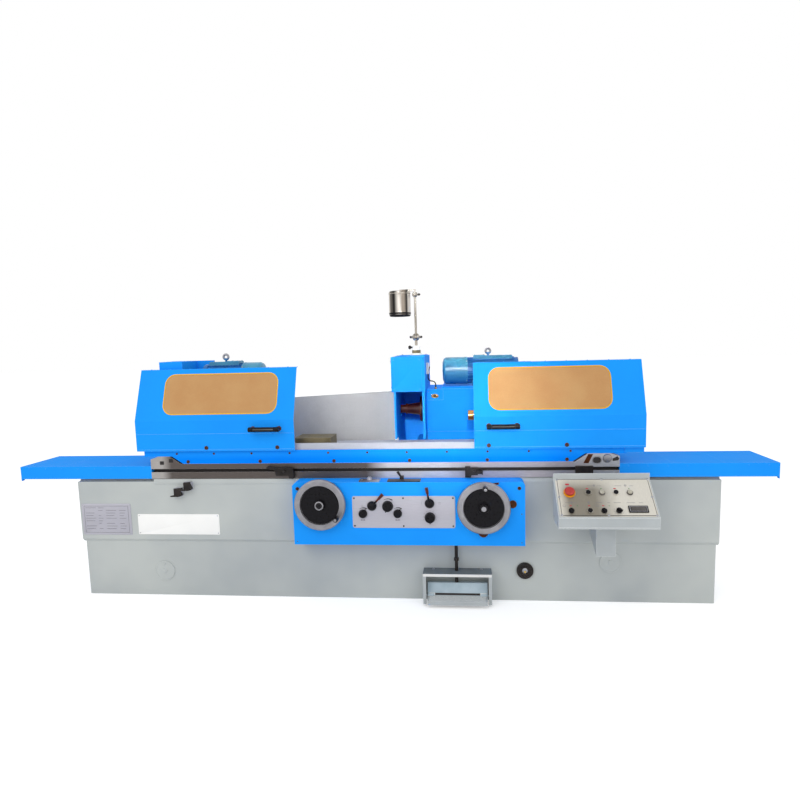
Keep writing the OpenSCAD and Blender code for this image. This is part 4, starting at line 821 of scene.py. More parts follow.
class GRINDER_OT_tables(GrinderStep, bpy.types.Operator):
    """Adds the strip's screws, the end brackets' clamps, the swivel scale and the dogs' bolts"""

    bl_idname = "grinder.tables"
    bl_label = "Tables"

    def make(self, sizes, colours):
        self.add_strip(sizes)
        self.add_clamps()
        self.add_scale(sizes)
        for name, body, bolt, pins in (
                ("left_trip_dog", "left_dog", (110, 28), ((84, 14), (150, 16))),
                ("right_trip_dog", "right_dog", (54, 22), ((16, 12), (64, 14)))):
            low, high = reach(name)
            dog = Piece("blackened_steel", "oil_and_painted_shade")
            dog.screw(front_at(low.y), low.x + bolt[0], high.z - bolt[1], 8.5, 4)
            for x, z in pins:
                dog.turned(front_at(low.y + 8), [(5, 0), (5, 1.5), (3, 2.5)], 0, 12,
                           low.x + x, high.z - z)
            dog.ride(name + "_bolt", body)

    def add_strip(self, sizes):
        """Two rows of screws in the front strip, and the strip's end under the right hood."""
        low, high = reach("front_strip")
        front = front_at(low.y)
        strip = Piece("brown_varnish", "oil_and_painted_shade")
        for start, pitch, count, down, radius, height in (
                (212, 239.2, 11, 19, sizes.strip_screw, 3),
                (282, 460.4, 6, 69, sizes.strip_bolt, 5)):
            for i in range(count):
                strip.screw(front, low.x + start + i * pitch, high.z - down, radius * 1000, height)
        strip.ride("front_strip_screws", "upper")
        end = Piece("blue_machine_enamel")
        end.slab(front, square((high.x - 12, reach("right_hood")[1].x - 4), (high.z - 30, high.z)),
                 0, 3, 0, 0.5)
        end.ride("front_strip_end", "upper")

    def add_clamps(self):
        """Clamp plates on the lower table's left end, a slot, loop, cap and stop on its right."""
        low, high = reach("lower_table")
        face = front_at(TABLE_FRONT)
        clamps = Piece("brown_varnish", "turned_steel", "oil_and_painted_shade")
        for x, z in ((low.x + 73, high.z - 41), (low.x + 133, high.z - 27)):
            clamps.slab(face, rounded((x - 13, x + 13), (z - 11, z + 11), 3), 0, 1.5, 2)

        def corner(*points):
            """Points measured to the left and down from the table's upper right corner."""
            return [(high.x - x, high.z - z) for x, z in points]

        def loop(x, z, radius):
            """A round-cornered outline measured from the same corner."""
            return rounded((high.x - x[0], high.x - x[1]), (high.z - z[0], high.z - z[1]), radius)

        clamps.slab(face, corner((206, 58), (176, 58), (150, 4), (178, 4)), 0, 0.8, 0)
        clamps.border(face, loop((158, 100), (62, 15), 22), loop((152, 106), (58, 21), 17),
                      0, 3, 1)
        # Near black inside the loop: painted shade in the slot
        clamps.slab(face, loop((152, 106), (57, 22), 16), 0, 1, 2)
        clamps.turned(face, [(25, 0), (25, 6), (22, 10), (13, 12), (0, 13)], 1, 32,
                      *corner((70, 29))[0])
        clamps.slab(face, corner((40, 46), (8, 42), (3, 30), (14, 17), (24, 24), (40, 30)),
                    0, 1, 2)
        clamps.ride("table_end_clamps", "table")

    def add_scale(self, sizes):
        """The swivel's scale on the upper table's right end."""
        high = reach("upper_table")[1]
        place = plane(Vector((high.x, 0, high.z - 38)), BACK)
        scale = Piece("brushed_aluminium", "black_ink")
        scale.slab(place, rounded((-40, 100), (-12, 12), 2), 0, 1.5, 0, 0.5)
        for i in range(29):
            tall = 12 if i % 7 == 0 else 7
            x = -33 + i * 4.5
            scale.slab(place, square((x, x + 0.8), (-10, tall - 10)),
                       1.4, 1.4 + sizes.mark * 1000, 1)
        scale.ride("swivel_scale", "upper")


class GRINDER_OT_covers(GrinderStep, bpy.types.Operator):
    """Adds rivets and folded hems to the way covers, and bolts to the splash sheet"""

    bl_idname = "grinder.covers"
    bl_label = "Way covers"

    def make(self, sizes, colours):
        low, high = reach("way_covers")
        start = reach("lower_table")[1].x
        front, top = front_at(low.y), top_at(high.z)
        hem = [(0, -0.5), (1, 1.6), (4, 2.4), (7, 1.6), (8, -0.5)]
        fold = [(-6, -0.2), (-3, 1.2), (3, 1.2), (6, -0.2)]
        trim = Piece("blue_machine_enamel")
        for sign in (-1, 1):
            for i in range(8):
                trim.turned(front, [(4.5, -0.2), (4.5, 0.6), (3, 1.6), (0, 2)], 0, 12,
                            sign * (start + 50 + i * 110), high.z - 14)
            trim.bead(front, hem, high.z - 80, sorted((sign * (start + 2), sign * (high.x - 1))))
            for x in (start + 300, start + 590):
                trim.bead(top, fold, sign * x, (low.y + 6, high.y - 6), upright=True)
        trim.ride("way_cover_trim", "table")

        low, high = reach("splash_back")
        bolts = Piece("zinc_plated_steel")
        for place, sign in ((front_at(low.y), 1), (back_at(high.y), -1)):
            for x in spread(low.x + 60, high.x - 60, 6):
                bolts.bolt(place, sign * x, low.z + 24, 7)
        bolts.ride("splash_back_bolts", "bed")


class GRINDER_OT_apron(GrinderStep, bpy.types.Operator):
    """Adds the printed arcs, dashes and settings on the control plate, and the apron's seams"""

    bl_idname = "grinder.apron"
    bl_label = "Apron"

    def make(self, sizes, colours):
        self.add_marks(reach("apron_plates")[0].y + 2, sizes.mark * 1000)

        low, high = reach("apron_housing")
        seams = Piece("blue_machine_enamel", "oil_and_painted_shade")
        seams.screws(front_at(low.y), (low.x + 20, high.x - 20), (low.z + 20, low.z + 190), 6, 3)
        seams.bead(top_at(high.z), [(-3, -0.3), (-1, 1), (1, 1), (3, -0.3)], low.y + 30,
                   (low.x + 40, -95))
        seams.ride("apron_screws", "bed")

        left = reach("apron_plates")[0].x
        clamp = Piece("zinc_plated_steel", "oil_and_painted_shade")
        clamp.screw(top_at(high.z + 20), left + 102, low.y + 36, 9, 6)
        clamp.screws(top_at(high.z + 8), (left + 56, left + 148), (low.y + 30,), 6, 4)
        clamp.ride("clamp_block_screws", "bed")

    def add_marks(self, front, mark):
        """What is printed on the control plate: an arrow, an arc or dots at each knob."""
        face = front_at(front)
        marks = Piece("black_ink", "faded_ink")
        steps = 12

        def arc(at, radius, start, end, wide, coat=0, arrow=True):
            points = []
            for i in range(steps + 1):
                angle = math.radians(start + (end - start) * i / steps)
                width = wide * (0.25 + 0.75 * i / steps if arrow else 0.5)
                points.append((math.cos(angle), math.sin(angle), radius + width))
            outer = [(at.x + size * c, at.z + size * s) for c, s, size in points]
            inner = [(at.x + radius * c, at.z + radius * s) for c, s, size in points]
            marks.slab(face, outer + inner[::-1], 0, mark, coat)

        def dash(x, z, wide, tall, coat=0):
            marks.dash(face, x, z, (wide, tall), 0.6, (0, mark), coat)

        for knob, radius in (("left_small_knob", 34), ("middle_small_knob", 34),
                             ("dwell_knob", 42)):
            arc(pivot(knob + "_turn"), radius, 124, 50, 7)
        for knob in ("left_small_knob", "middle_small_knob"):
            at = pivot(knob + "_turn")
            for x in (-8, 6):
                dash(at.x + x, at.z - 38, 12, 4)
        for lever, side in (("left_lever", -1), ("right_lever", 1)):
            at = pivot(lever + "_turn")
            arc(at, 46, 90 + side * 60, 90 + side * 100, 2, 1, False)
            for z in (-4, 4):
                dash(at.x + side * 58, at.z + z, 14, 1.5, 1)
        at = pivot("feed_knob_turn")
        for i in range(9):
            angle = math.radians(-20 + i * 27.5)
            dash(at.x + 40 * math.cos(angle), at.z + 40 * math.sin(angle), 3, 3, 1)
        marks.ride("control_plate_marks", "bed")


class GRINDER_OT_handwheels(GrinderStep, bpy.types.Operator):
    """Adds the hub rings and the divided collars of the handwheels"""

    bl_idname = "grinder.handwheels"
    bl_label = "Handwheels"

    def make(self, sizes, colours):
        seat = reach("apron_housing")[0].y
        for name, black_hub in (("table", 0), ("infeed", 1)):
            at = pivot(name + "_wheel_turn")
            place = plane(Vector((at.x, seat - 16, at.z)))
            hub = Piece("turned_steel", "black_phenolic", "black_ink")
            hub.turned(place, [(26, 37.5), (26, 40), (24, 42), (21, 42), (20, 39)], black_hub, 40)
            hub.turned(place, [(20, 38.5), (17, 40), (9, 40.8), (0, 41)], 1, 32)
            if black_hub:
                hub.turned(place, [(14, 41), (14, 42.2), (11, 42.8), (7, 42.8), (6, 41.5)], 0, 32)
            for c, s in around(12):
                hub.slab(place, [(10 * c - s, 10 * s + c), (10 * c + s, 10 * s - c),
                                 (16 * c + s, 16 * s - c), (16 * c - s, 16 * s + c)],
                         39, 41.2, 2)
            hub.ride(name + "_handwheel_hub", name + "_wheel")

            base = plane(Vector((at.x, seat, at.z)))
            collar = Piece("brushed_aluminium", "black_ink")
            collar.turned(base, [(46, 0), (46, 8), (43, 12), (15, 12)], 0, 48)
            for i, turn in enumerate(turns(base, 50)):
                tall = 7 if i % 5 == 0 else 4
                collar.slab(turn, square((45.6, 46.4), (-0.5, 0.5)), 8 - tall, 8, 1)
            collar.ride(name + "_handwheel_collar", "bed")


class GRINDER_OT_console(GrinderStep, bpy.types.Operator):
    """Adds the panel's seam, screws, printed marks and display slats, and the box's hems"""

    bl_idname = "grinder.console"
    bl_label = "Console"

    def make(self, sizes, colours):
        seat = console_seat()
        low, high = reach("console_box")
        wide, tall = high.x - low.x, 257.3
        sunk, printed = 2.9, 3 + sizes.mark * 1000
        red, green, faded, smoked, steel, slat = range(3, 9)
        marks = Piece("black_ink", "zinc_plated_steel", "oil_and_painted_shade", "red_ink", "green_ink",
                      "faded_ink", "smoked_acrylic", "turned_steel", "grey_phenolic")
        marks.border(seat, rounded((17, wide - 13), (8, tall - 8), 4),
                     rounded((19.5, wide - 15.5), (11.5, tall - 10.5), 3), 2.8, printed)
        left, right, foot, top = 18, wide - 15, 10, tall - 10
        for x, y in ((left, 128), (right, 128), (wide / 2, foot), (left, foot), (right, foot),
                     (left, top), (wide / 2, top), (right, top)):
            marks.turned(seat, [(6, 3), (6, 5.4), (4.5, 6.6), (0, 7)], 1, 20, x, y)
            # Each screw's slot drawn near black: painted shade
            marks.slab(seat, rounded((x - 4, x + 4), (y - 0.8, y + 0.8), 0.4, steps=1), 6, 7.2, 2)

        def dash(x, y, w, h, coat):
            marks.dash(seat, x, y, (w, h), min(w, h) * 0.4, (sunk, printed), coat)

        dash(70, 214, 22, 11, red)
        for x, coat in ((173, red), (248, green), (320, red), (396, green)):
            dash(x, 185, 14 if coat == red else 6, 6, coat)
        for x, coat in ((71, red), (106, green), (168, red), (241, red), (272, green)):
            dash(x, 72, 12 if coat == red else 5, 5, coat)
        for y, words in (
                (204, ((190, 34), (240, 26), (340, 36), (412, 20))),
                (92, ((58, 26), (96, 14), (222, 34), (272, 16), (318, 38), (388, 44), (440, 20)))):
            for x, w in words:
                dash(x, y, w, 1.6, faded)
        for x, y in ((214, 206), (380, 206), (78, 93), (168, 93)):
            marks.border(seat, ring(6, 0, 20, x, y), ring(4, 0, 20, x, y), sunk, printed, faded)
            dash(x, y, 1.6, 12, faded)
        for x in (38, 210):
            marks.border(seat, rounded((x - 8, x + 8), (66, 78), 3, steps=3),
                         rounded((x - 6.8, x + 6.8), (67.2, 76.8), 2, steps=3),
                         sunk, printed, faded)
        for i in range(11):
            angle = math.radians(210 - i * 24)
            dash(317 + 25 * math.cos(angle), 38 + 25 * math.sin(angle), 2, 2, 0)
        display = rounded((376, 461), (34, 64), 2)
        marks.slab(seat, display, 7.8, 8.6, smoked)
        for i in range(4):
            y = 37 + i * 6.6
            marks.slab(seat, rounded((384, 456), (y, y + 3.6), 1, steps=2), 8.5, 9.6, slat)
        marks.border(seat, rounded((374, 463), (32.5, 65.5), 2), display, 7.8, 9.4, steel)
        marks.ride("console_marks", "bed")

        cover = Piece("light_grey_enamel", "zinc_plated_steel", "oil_and_painted_shade")
        hem = [(0, -0.3), (1.5, 1.6), (4.5, 1.6), (6, -0.3)]
        for z in (low.z + 209, reach("console_panel")[0].z - 11):
            cover.bead(front_at(low.y), hem, z, (low.x + 2, high.x - 2))
        for x, sign in ((low.x, -1), (high.x, 1)):
            cover.screws(side_at(x, sign), (sign * (low.y + 30), sign * (low.y + 150)),
                         (low.z + 232,), 5, 3, 0, 1, 2)
        cover.ride("console_hems", "bed")


class GRINDER_OT_bed(GrinderStep, bpy.types.Operator):
    """Adds the gauge glass, plate rivets and lines, cover rims, rear doors and end covers"""

    bl_idname = "grinder.bed"
    bl_label = "Bed"

    def make(self, sizes, colours):
        low, high = reach("bed_casting")
        face, rim = front_at(low.y), 746
        self.add_plates(face, low.x, rim, sizes.mark * 1000)
        lip = Piece("grey_machine_enamel")
        lip.bead(face, [(-16, -0.5), (-16, 2), (-14, 3), (14, 3), (16, 2), (16, -0.5)], rim,
                 (low.x + 510, high.x - 510))
        lip.ride("bed_rim_lip", "bed")
        self.add_gauge(low, high)

        bed_back, leg_left, leg_right = 250, 160, 960
        door, side_door, inset = (180, 560), (150, 600), (18, 18)
        rear = Piece(*GREY_SHEET)
        for x in (-1500, -900, -300, 1350):
            rear.cover(back_at(bed_back), (-x - 210, -x + 210), door, 12, 4, (20, 18))
        for x, sign in ((leg_left, -1), (leg_right, 1)):
            side = side_at(x, sign)
            a, b = sorted((sign * 420, sign * 1080))
            rear.cover(side, (a, b), side_door, 12, 4, inset)
            for i in range(7):
                z = 300 + i * 26
                # Near black vent slots: painted shade in the openings
                rear.slab(side, rounded((a + 180, b - 180), (z, z + 8), 3, steps=2), 3.5, 6, 2, 1)
        rear.cover(back_at(high.y), (60 - leg_right, -60 - leg_left), side_door, 12, 4, inset)
        rear.ride("rear_covers", "bed")

        ends = Piece(*GREY_SHEET)
        for x, sign in ((low.x, -1), (high.x, 1)):
            ends.cover(side_at(x, sign), sorted((sign * -130, sign * 200)), (420, 680), 10, 4,
                       (16, 16), columns=2)
        ends.ride("end_covers", "bed")

    def add_plates(self, face, bed_left, rim, mark):
        """Faces and rivets of the lubrication plate and the blank name plate."""
        plates = Piece("brushed_aluminium", "zinc_plated_steel", "faded_ink", "white_enamel_plate")
        left, name = (bed_left + 14, bed_left + 338), (bed_left + 386, bed_left + 916)
        for x, z, coat in ((left, (rim - 342, rim - 144), 0), (name, (rim - 338, rim - 211), 3)):
            plates.slab(face, rounded((x[0] - 2, x[1] + 2), (z[0] - 2, z[1] + 2), 6),
                        -0.5, 2.8, coat, 0.8)
            for px in (x[0] + 8, x[1] - 8):
                for pz in (z[0] + 8, z[1] - 8):
                    plates.turned(face, [(3.5, 2.6), (3.2, 4), (0, 4.8)], 1, 12, px, pz)
        for i in range(9):
            z = rim - 168 - i * 17
            for start, end in ((24, 96), (108, 146), (160, 236), (250, 300)):
                if (i + start) % 5:
                    x = (left[0] + start, left[0] + end - (i * 7) % 22)
                    plates.slab(face, rounded(x, (z - 1.2, z + 1.2), 0.8, steps=1),
                                2.7, 2.8 + mark, 2)
        plates.border(face, rounded((left[0] + 14, left[1] - 14), (rim - 330, rim - 156), 3),
                      rounded((left[0] + 16, left[1] - 16), (rim - 328, rim - 158), 2),
                      2.7, 2.8 + mark, 2)
        plates.ride("bed_plate_faces", "bed")

    def add_gauge(self, low, high):
        """The oil gauge's rings, glass and screws, and the rims of the two round covers."""
        plinth = front_at(low.y + 15)
        x, z = high.x - 1107, 190
        gauge = Piece("blackened_steel", "polished_brass", "zinc_plated_steel",
                      "grey_machine_enamel")
        gauge.border(plinth, ring(47, 0, 48, x, z), ring(38, 0, 48, x, z), 11.8, 14)
        gauge.border(plinth, ring(26, 0, 40, x, z), ring(19, 0, 40, x, z), 11.8, 15)
        gauge.turned(plinth, [(19, 6), (19, 9), (17, 10.5), (0, 11.5)], 2, 32, x, z)
        gauge.turned(plinth, [(8, 11), (7, 12.5), (0, 13)], 1, 20, x, z - 6)
        for c, s in around(6, 30):
            gauge.screw(plinth, x + 32 * c, z + 32 * s, 4, 3, 12, coat=0, hole=0)
        for x, z in ((low.x + 531, 163), (high.x - 606, 246)):
            gauge.border(plinth, ring(63, 0, 48, x, z), ring(58, 0, 48, x, z), 3.8, 5, 3)
            gauge.turned(plinth, [(14, 4), (13, 7), (0, 8)], 3, 24, x, z)
        gauge.ride("oil_gauge_and_rims", "bed")


class GRINDER_OT_wheelhead(GrinderStep, bpy.types.Operator):
    """Adds the sight glass, guard plates, screws, louvres and the motor's small parts"""

    bl_idname = "grinder.wheelhead"
    bl_label = "Wheelhead"

    def make(self, sizes, colours):
        screw = sizes.cover_screw * 1000
        self.add_seams(screw)
        self.add_guard_plates(screw)

        low, high = reach("belt_cover")
        side = side_at(high.x, 1)
        cover = Piece(*BLUE_SHEET)
        cover.cover(side, (low.y + 8, high.y - 8), (low.z + 8, high.z - 8), 10, 3, (14, 14),
                    rows=3, columns=2, screw=screw)
        for i in range(6):
            z = low.z + 120 + i * 24
            cover.bead(side, [(0, 2.8), (2, 9), (12, 2.8)], z, (low.y + 50, high.y - 50))
            # A near black strip under each louvre: painted shade in its opening
            cover.slab(side, square((low.y + 52, high.y - 52), (z - 3, z)), 2.8, 3.4, 2)
        cover.ride("belt_cover_plate", "wheelhead")
        dress_motor("wheel_motor", "wheelhead", 200)

    def add_seams(self, screw):
        """The sight glass, then the beads, screws and rear cover of the wheelhead."""
        low, high = reach("wheelhead_housing")
        at = (low.x + 55, high.z - 59)
        glass = Piece("polished_brass", "brown_varnish")
        glass.slab(front_at(low.y), oval(*at, 25, 14), -0.5, 5, 0, 2)
        glass.slab(front_at(low.y), oval(*at, 15, 7), 4.8, 6.2, 1, 1)
        glass.ride("sight_glass", "wheelhead")

        seams = Piece(*BLUE_SHEET)
        face = front_at(low.y + 4)
        hem = [(-2, -0.4), (-1, 1.2), (1, 1.2), (2, -0.4)]
        seams.bead(face, hem, high.z - 86, (low.x + 6, low.x + 112))
        seams.bead(face, hem[::-1], low.x + 110, (high.z - 86, high.z - 14), upright=True)
        seams.screws(face, (low.x + 12, low.x + 330, high.x - 14), (low.z + 16, low.z + 268),
                     screw, 4, 0, 0, 2)
        seams.cover(back_at(high.y), (60 - high.x, -60 - low.x), (low.z + 60, high.z - 60), 10, 5,
                    (18, 18), screw=screw)
        seams.ride("wheelhead_seams", "wheelhead")

    def add_guard_plates(self, screw):
        """The plates on the front, top and left of the wheel guard's box."""
        low, high = reach("wheel_guard")
        high.z -= 9
        low = Vector((high.x - 217, low.y, high.z - 224))
        face = front_at(low.y)
        guard = Piece(*BLUE_SHEET)
        guard.slab(face, rounded((low.x + 6, high.x - 20), (low.z + 5, high.z - 8), 3),
                   -0.5, 2.5, 0, 1)
        guard.screws(face, (low.x + 18, high.x - 34), (low.z + 17, high.z - 20), 3.5, 2.5, 2.4,
                     0, 2)
        guard.turned(face, [(3.5, 0), (3.5, 2), (2, 3)], 2, 12, high.x - 9, high.z - 14)
        guard.cover(top_at(high.z), (low.x + 10, high.x - 10), (low.y + 170, high.y - 12), 6, 3,
                    (14, 16), columns=2, screw=screw)
        guard.cover(side_at(low.x, -1), (20 - high.y, -low.y - 20), (low.z + 12, high.z - 12),
                    8, 3, (16, 16), screw=screw)
        guard.ride("wheel_guard_plates", "wheelhead")


def dress_motor(node, body, lift):
    """The fan grille, blank plate, terminal box lid and screws of a motor."""
    low, high, fan_left, axis = motor_layout(node)
    sign = -1 if fan_left else 1
    third = (high.x - low.x) / 3
    end = low.x if fan_left else high.x
    facing = sign * BACK
    parts = Piece("motor_enamel", "oil_and_painted_shade", "zinc_plated_steel", "brushed_aluminium",
                  "black_phenolic")
    grille = plane(Vector((end, axis.y, axis.z)), facing)
    # Near black slots in the fan grille: painted shade in the openings
    for radius, count in ((22, 12), (36, 18), (50, 24)):
        for turn in turns(grille, count):
            parts.slab(turn, rounded((radius - 5, radius + 5), (-2, 2), 1.9, steps=2),
                       -0.5, 0.5, 1)
    parts.turned(grille, [(12, -0.5), (12, 2), (9, 3), (0, 3.4)], 0, 24)
    seam = end - sign * (third - 6)
    for c, s in around(4, 45):
        spot = Vector((seam, axis.y + MOTOR_RADIUS * c, axis.z + MOTOR_RADIUS * s))
        parts.screw(plane(spot, RIGHT, Vector((0, c, s)).cross(RIGHT)), 0, 0, 4.5, 3, -0.5,
                    coat=2, hole=1)
    hoop = plane(Vector((seam + sign * 3, axis.y, axis.z)), facing)
    parts.border(hoop, ring(93.2, 0, 48), ring(90, 0, 48), -3, 3, 0)
    near, far = (high.x, -1) if fan_left else (low.x, 1)
    box = sorted((near + far * (lift + 20), near + far * (lift + 100)))
    top = plane(Vector((0, axis.y, axis.z + 100)), RIGHT, BACK)
    parts.slab(top, rounded((box[0] + 2, box[1] - 2), (-43, 43), 5), -0.5, 4, 0, 1)
    parts.screws(top, (box[0] + 9, box[1] - 9), (-36, 36), 3.5, 2.5, 4, 2, 1)
    middle = sum(box) / 2
    gland = plane(Vector((middle, axis.y + 45, axis.z + 90)), -RIGHT)
    parts.turned(gland, [(11, -0.5), (11, 6), (8, 6), (8, 12), (5, 13)], 4, 12, flat=1)
    flat = plane(Vector((0, axis.y - 88, axis.z + 18)))
    middle -= sign * 40
    parts.slab(flat, rounded((middle - 42, middle + 42), (-26, 26), 4), -6, 3.4, 3, 0.8)
    for x in (middle - 36, middle + 36):
        for z in (-20, 20):
            parts.turned(flat, [(2.4, 3), (2.2, 4), (0, 4.6)], 2, 10, x, z)
    parts.ride(node + "_parts", body)


class GRINDER_OT_workhead(GrinderStep, bpy.types.Operator):
    """Adds screws, slots and covers to the workhead, its motor and the tailstock"""

    bl_idname = "grinder.workhead"
    bl_label = "Workhead and tailstock"

    def make(self, sizes, colours):
        screw = sizes.cover_screw * 1000
        low, high = reach("workhead_belt_guard")
        side = side_at(low.x, -1)
        guard = Piece(*BLUE_SHEET)
        guard.cover(side, (8 - high.y, -8 - low.y), (low.z + 8, high.z - 8), 10, 3, (14, 14),
                    rows=3, columns=2, screw=screw)
        for i in range(5):
            z = low.z + 300 + i * 22
            # Near black louvre slots: painted shade in the openings
            guard.slab(side, rounded((60 - high.y, -60 - low.y), (z, z + 7), 3, steps=2),
                       2.8, 4, 2)
        guard.ride("workhead_guard_plate", "upper")

        low, high = reach("workhead_housing")
        front = front_at(low.y)
        head = Piece(*BLUE_SHEET, "brushed_aluminium")
        head.slab(front, rounded((low.x + 60, high.x - 90), (low.z + 80, high.z - 60), 12),
                  -0.5, 5, 0, 1)
        head.screws(front, (low.x + 78, (low.x + high.x) / 2, high.x - 108),
                    (low.z + 98, high.z - 78), screw, 4, 5, 1, 2)
        for x in (low.x + 50, low.x + 200, high.x - 60):
            head.bolt(front, x, low.z + 22, 9, coat=1)
        head.slab(front, rounded((high.x - 220, high.x - 130), (low.z + 34, low.z + 42), 2),
                  -0.5, 1.5, 3)
        head.ride("workhead_screws", "upper")

        at = pivot("work_spindle_spin")
        plate = plane(Vector((reach("work_spindle")[1].x - 56, at.y, at.z)), BACK)
        pin = Piece("oil_and_painted_shade", "blackened_steel")
        # Near black slots round the pin: painted shade in the faceplate's slots
        for turn in turns(plate, 4):
            pin.slab(turn, rounded((40, 80), (-7, 7), 6.9), -0.3, 0.5)
        pin.turned(plate, [(10, -0.3), (10, 34), (8, 38), (0, 39)], 1, 24, 60, 0)
        pin.ride("driving_pin", "spindle")
        dress_motor("workhead_motor", "upper", 134)

        low, high = reach("tailstock_body")
        tail = Piece(*BLUE_SHEET, "polished_brass")
        for x in (low.x + 40, high.x - 40):
            tail.bolt(front_at(low.y), x, low.z + 30, 10, coat=1)
        cap = plane(Vector((high.x, 0, pivot("quill_lever_swing").z)), BACK)
        tail.turned(cap, [(50, -0.5), (50, 5), (46, 8), (20, 8), (18, 12), (0, 13)], 0, 40)
        for c, s in around(4, 45):
            tail.screw(cap, 38 * c, 38 * s, 5, 3, 8, coat=1, hole=2)
        for x in (low.x + 70, low.x + 190):
            tail.turned(top_at(high.z), [(7, -2), (7, 3), (4, 6), (0, 7)], 3, 20, x, 0)
        tail.ride("tailstock_fittings", "tailstock")


class GRINDER_OT_lamp(GrinderStep, bpy.types.Operator):
    """Adds the shade's rims, the ball joints' wing screws and the foot's screws"""

    bl_idname = "grinder.lamp"
    bl_label = "Lamp"

    def make(self, sizes, colours):
        low, high = reach("lamp_shade")
        upright = plane(Vector((low.x + SHADE_RADIUS, (low.y + high.y) / 2, low.z)), RIGHT, BACK)
        rims = Piece("black_phenolic", "nickel_plated_steel")
        for coat, profile in (
                (0, [(71, 13), (70.6, 4), (66, -10), (63, -11), (62, -8), (66, 4), (66, 13)]),
                (1, [(71, 132), (71.6, 134), (71, 136), (69.5, 136), (69.5, 132)])):
            rims.loft(upright, [ring(r, z, 48) for r, z in profile], coat, loop=True)
        for turn in turns(upright, 8, 20):
            rims.slab(turn, rounded((30, 50), (-3, 3), 2.9), 149.4, 150.4, 0)
        rims.ride("shade_rims", "shade")

        ball = pivot("lamp_arm_tilt")
        wings = Piece("blackened_steel")
        for sign in (-1, 1):
            self.add_wing(wings, ball + sign * 28 * RIGHT, sign)
        knob = ball + Vector((-37, 0, -66))
        wings.turned(plane(knob, -BACK), [(10, -2), (12, 2), (12, 10), (8, 14), (0, 15)], 0, 24)
        wings.ride("lower_wing_screws", "wheelhead")
        wings = Piece("blackened_steel")
        self.add_wing(wings, pivot("lamp_shade_tilt") + 21 * RIGHT, 1)
        wings.ride("upper_wing_screw", "arm")

        foot = Piece("zinc_plated_steel", "oil_and_painted_shade", "light_grey_enamel", "black_phenolic")
        pad = plane(Vector((ball.x, ball.y, reach("wheel_guard")[1].z + 3)), RIGHT, BACK)
        for c, s in around(4, 45):
            foot.screw(pad, 37 * c, 37 * s, 4.5, 4)
        box = plane(Vector((298, 299, 1397)), BACK)
        foot.slab(box, rounded((-31, 31), (-34, 34), 5), -0.5, 3, 2, 1)
        foot.slab(box, rounded((-9, 9), (-14, 14), 3), 3, 5, 3, 1)
        foot.slab(box, rounded((-6, 6), (-2, 10), 2), 4.5, 9, 3, 1.5)
        foot.ride("lamp_foot_screws", "wheelhead")

    def add_wing(self, piece, at, sign):
        """A wing screw: a stepped stem with two flat wings."""
        place = plane(at, sign * BACK)
        piece.turned(place, [(8, 0), (8, 5), (5, 8), (5, 12), (0, 14)], 0, 20)
        for angle in (0.5, math.pi + 0.5):
            turn = place @ Matrix.Rotation(angle, 4, "Z")
            piece.slab(turn, rounded((2, 13), (-1.6, 1.6), 1.5, steps=2), 3, 12, 0, 0.8)


class GRINDER_OT_pedal(GrinderStep, bpy.types.Operator):
    """Adds the tread ribs, the frame's faces and bolts, and the rod's clamp screw"""

    bl_idname = "grinder.pedal"
    bl_label = "Foot pedal"

    def make(self, sizes, colours):
        axle = pivot("treadle_press")
        low, high = reach("pedal_treadle")
        ribs = Piece("light_grey_enamel", "oil_and_painted_shade", "white_powder_coat")
        tread = plane(Vector((0, axle.y - 65, axle.z - 11)), RIGHT, Vector((0, 69, 10)))
        section = [(-1.6, -0.3), (-0.8, 1.4), (0.8, 1.4), (1.6, -0.3)]
        for i in range(7):
            ribs.bead(tread, section, 8 + i * 8.4, (low.x + 12, high.x - 12))
        kick = plane(Vector((0, axle.y - 2, axle.z - 8)), RIGHT, Vector((0, 17, 80)))
        # A near black slit in the kick plate: painted shade
        ribs.slab(kick, rounded((low.x + 42, high.x - 42), (9, 21), 4), -0.3, 2, 1, 0.5)
        for x in (low.x + 4, high.x - 44):
            ribs.slab(kick, rounded((x, x + 40), (8, 22), 3), -0.3, 5, 2, 1.5)
        ribs.ride("tread_ribs", "treadle")

        low, high = reach("pedal_frame")
        parts = Piece("light_grey_enamel", "zinc_plated_steel", "oil_and_painted_shade", "white_powder_coat")
        front = front_at(low.y)
        for x in (low.x + 9, high.x - 9):
            parts.slab(front, rounded((x - 9.5, x + 9.5), (low.z + 1, high.z - 1), 2),
                       -0.5, 1.6, 0, 0.6)
        # A white strip along the frame's top front edge: painted highlight
        parts.slab(front, rounded((low.x + 1, high.x - 1), (high.z - 16, high.z), 2),
                   -0.5, 1.8, 3, 0.6)
        for sign, x in ((-1, low.x), (1, high.x)):
            side = side_at(x, sign)
            parts.turned(side, [(13, -0.5), (13, 3), (10, 5), (0, 6)], 1, 24,
                         sign * axle.y, axle.z)
            parts.screws(side, (sign * (high.y - 18),), (low.z + 120, high.z - 22), 6, 4, 0, 1, 2)
        for x in (low.x + 60, high.x - 60):
            parts.bolt(top_at(high.z), x, high.y - 20, 7, coat=1)
        parts.ride("pedal_frame_parts", "bed")

        low, high = reach("pedal_rod")
        collar = Piece("blackened_steel", "oil_and_painted_shade")
        collar.screw(front_at(low.y), (low.x + high.x) / 2, 271, 4.5, 4, -1)
        collar.ride("rod_collar_screw", "rod")


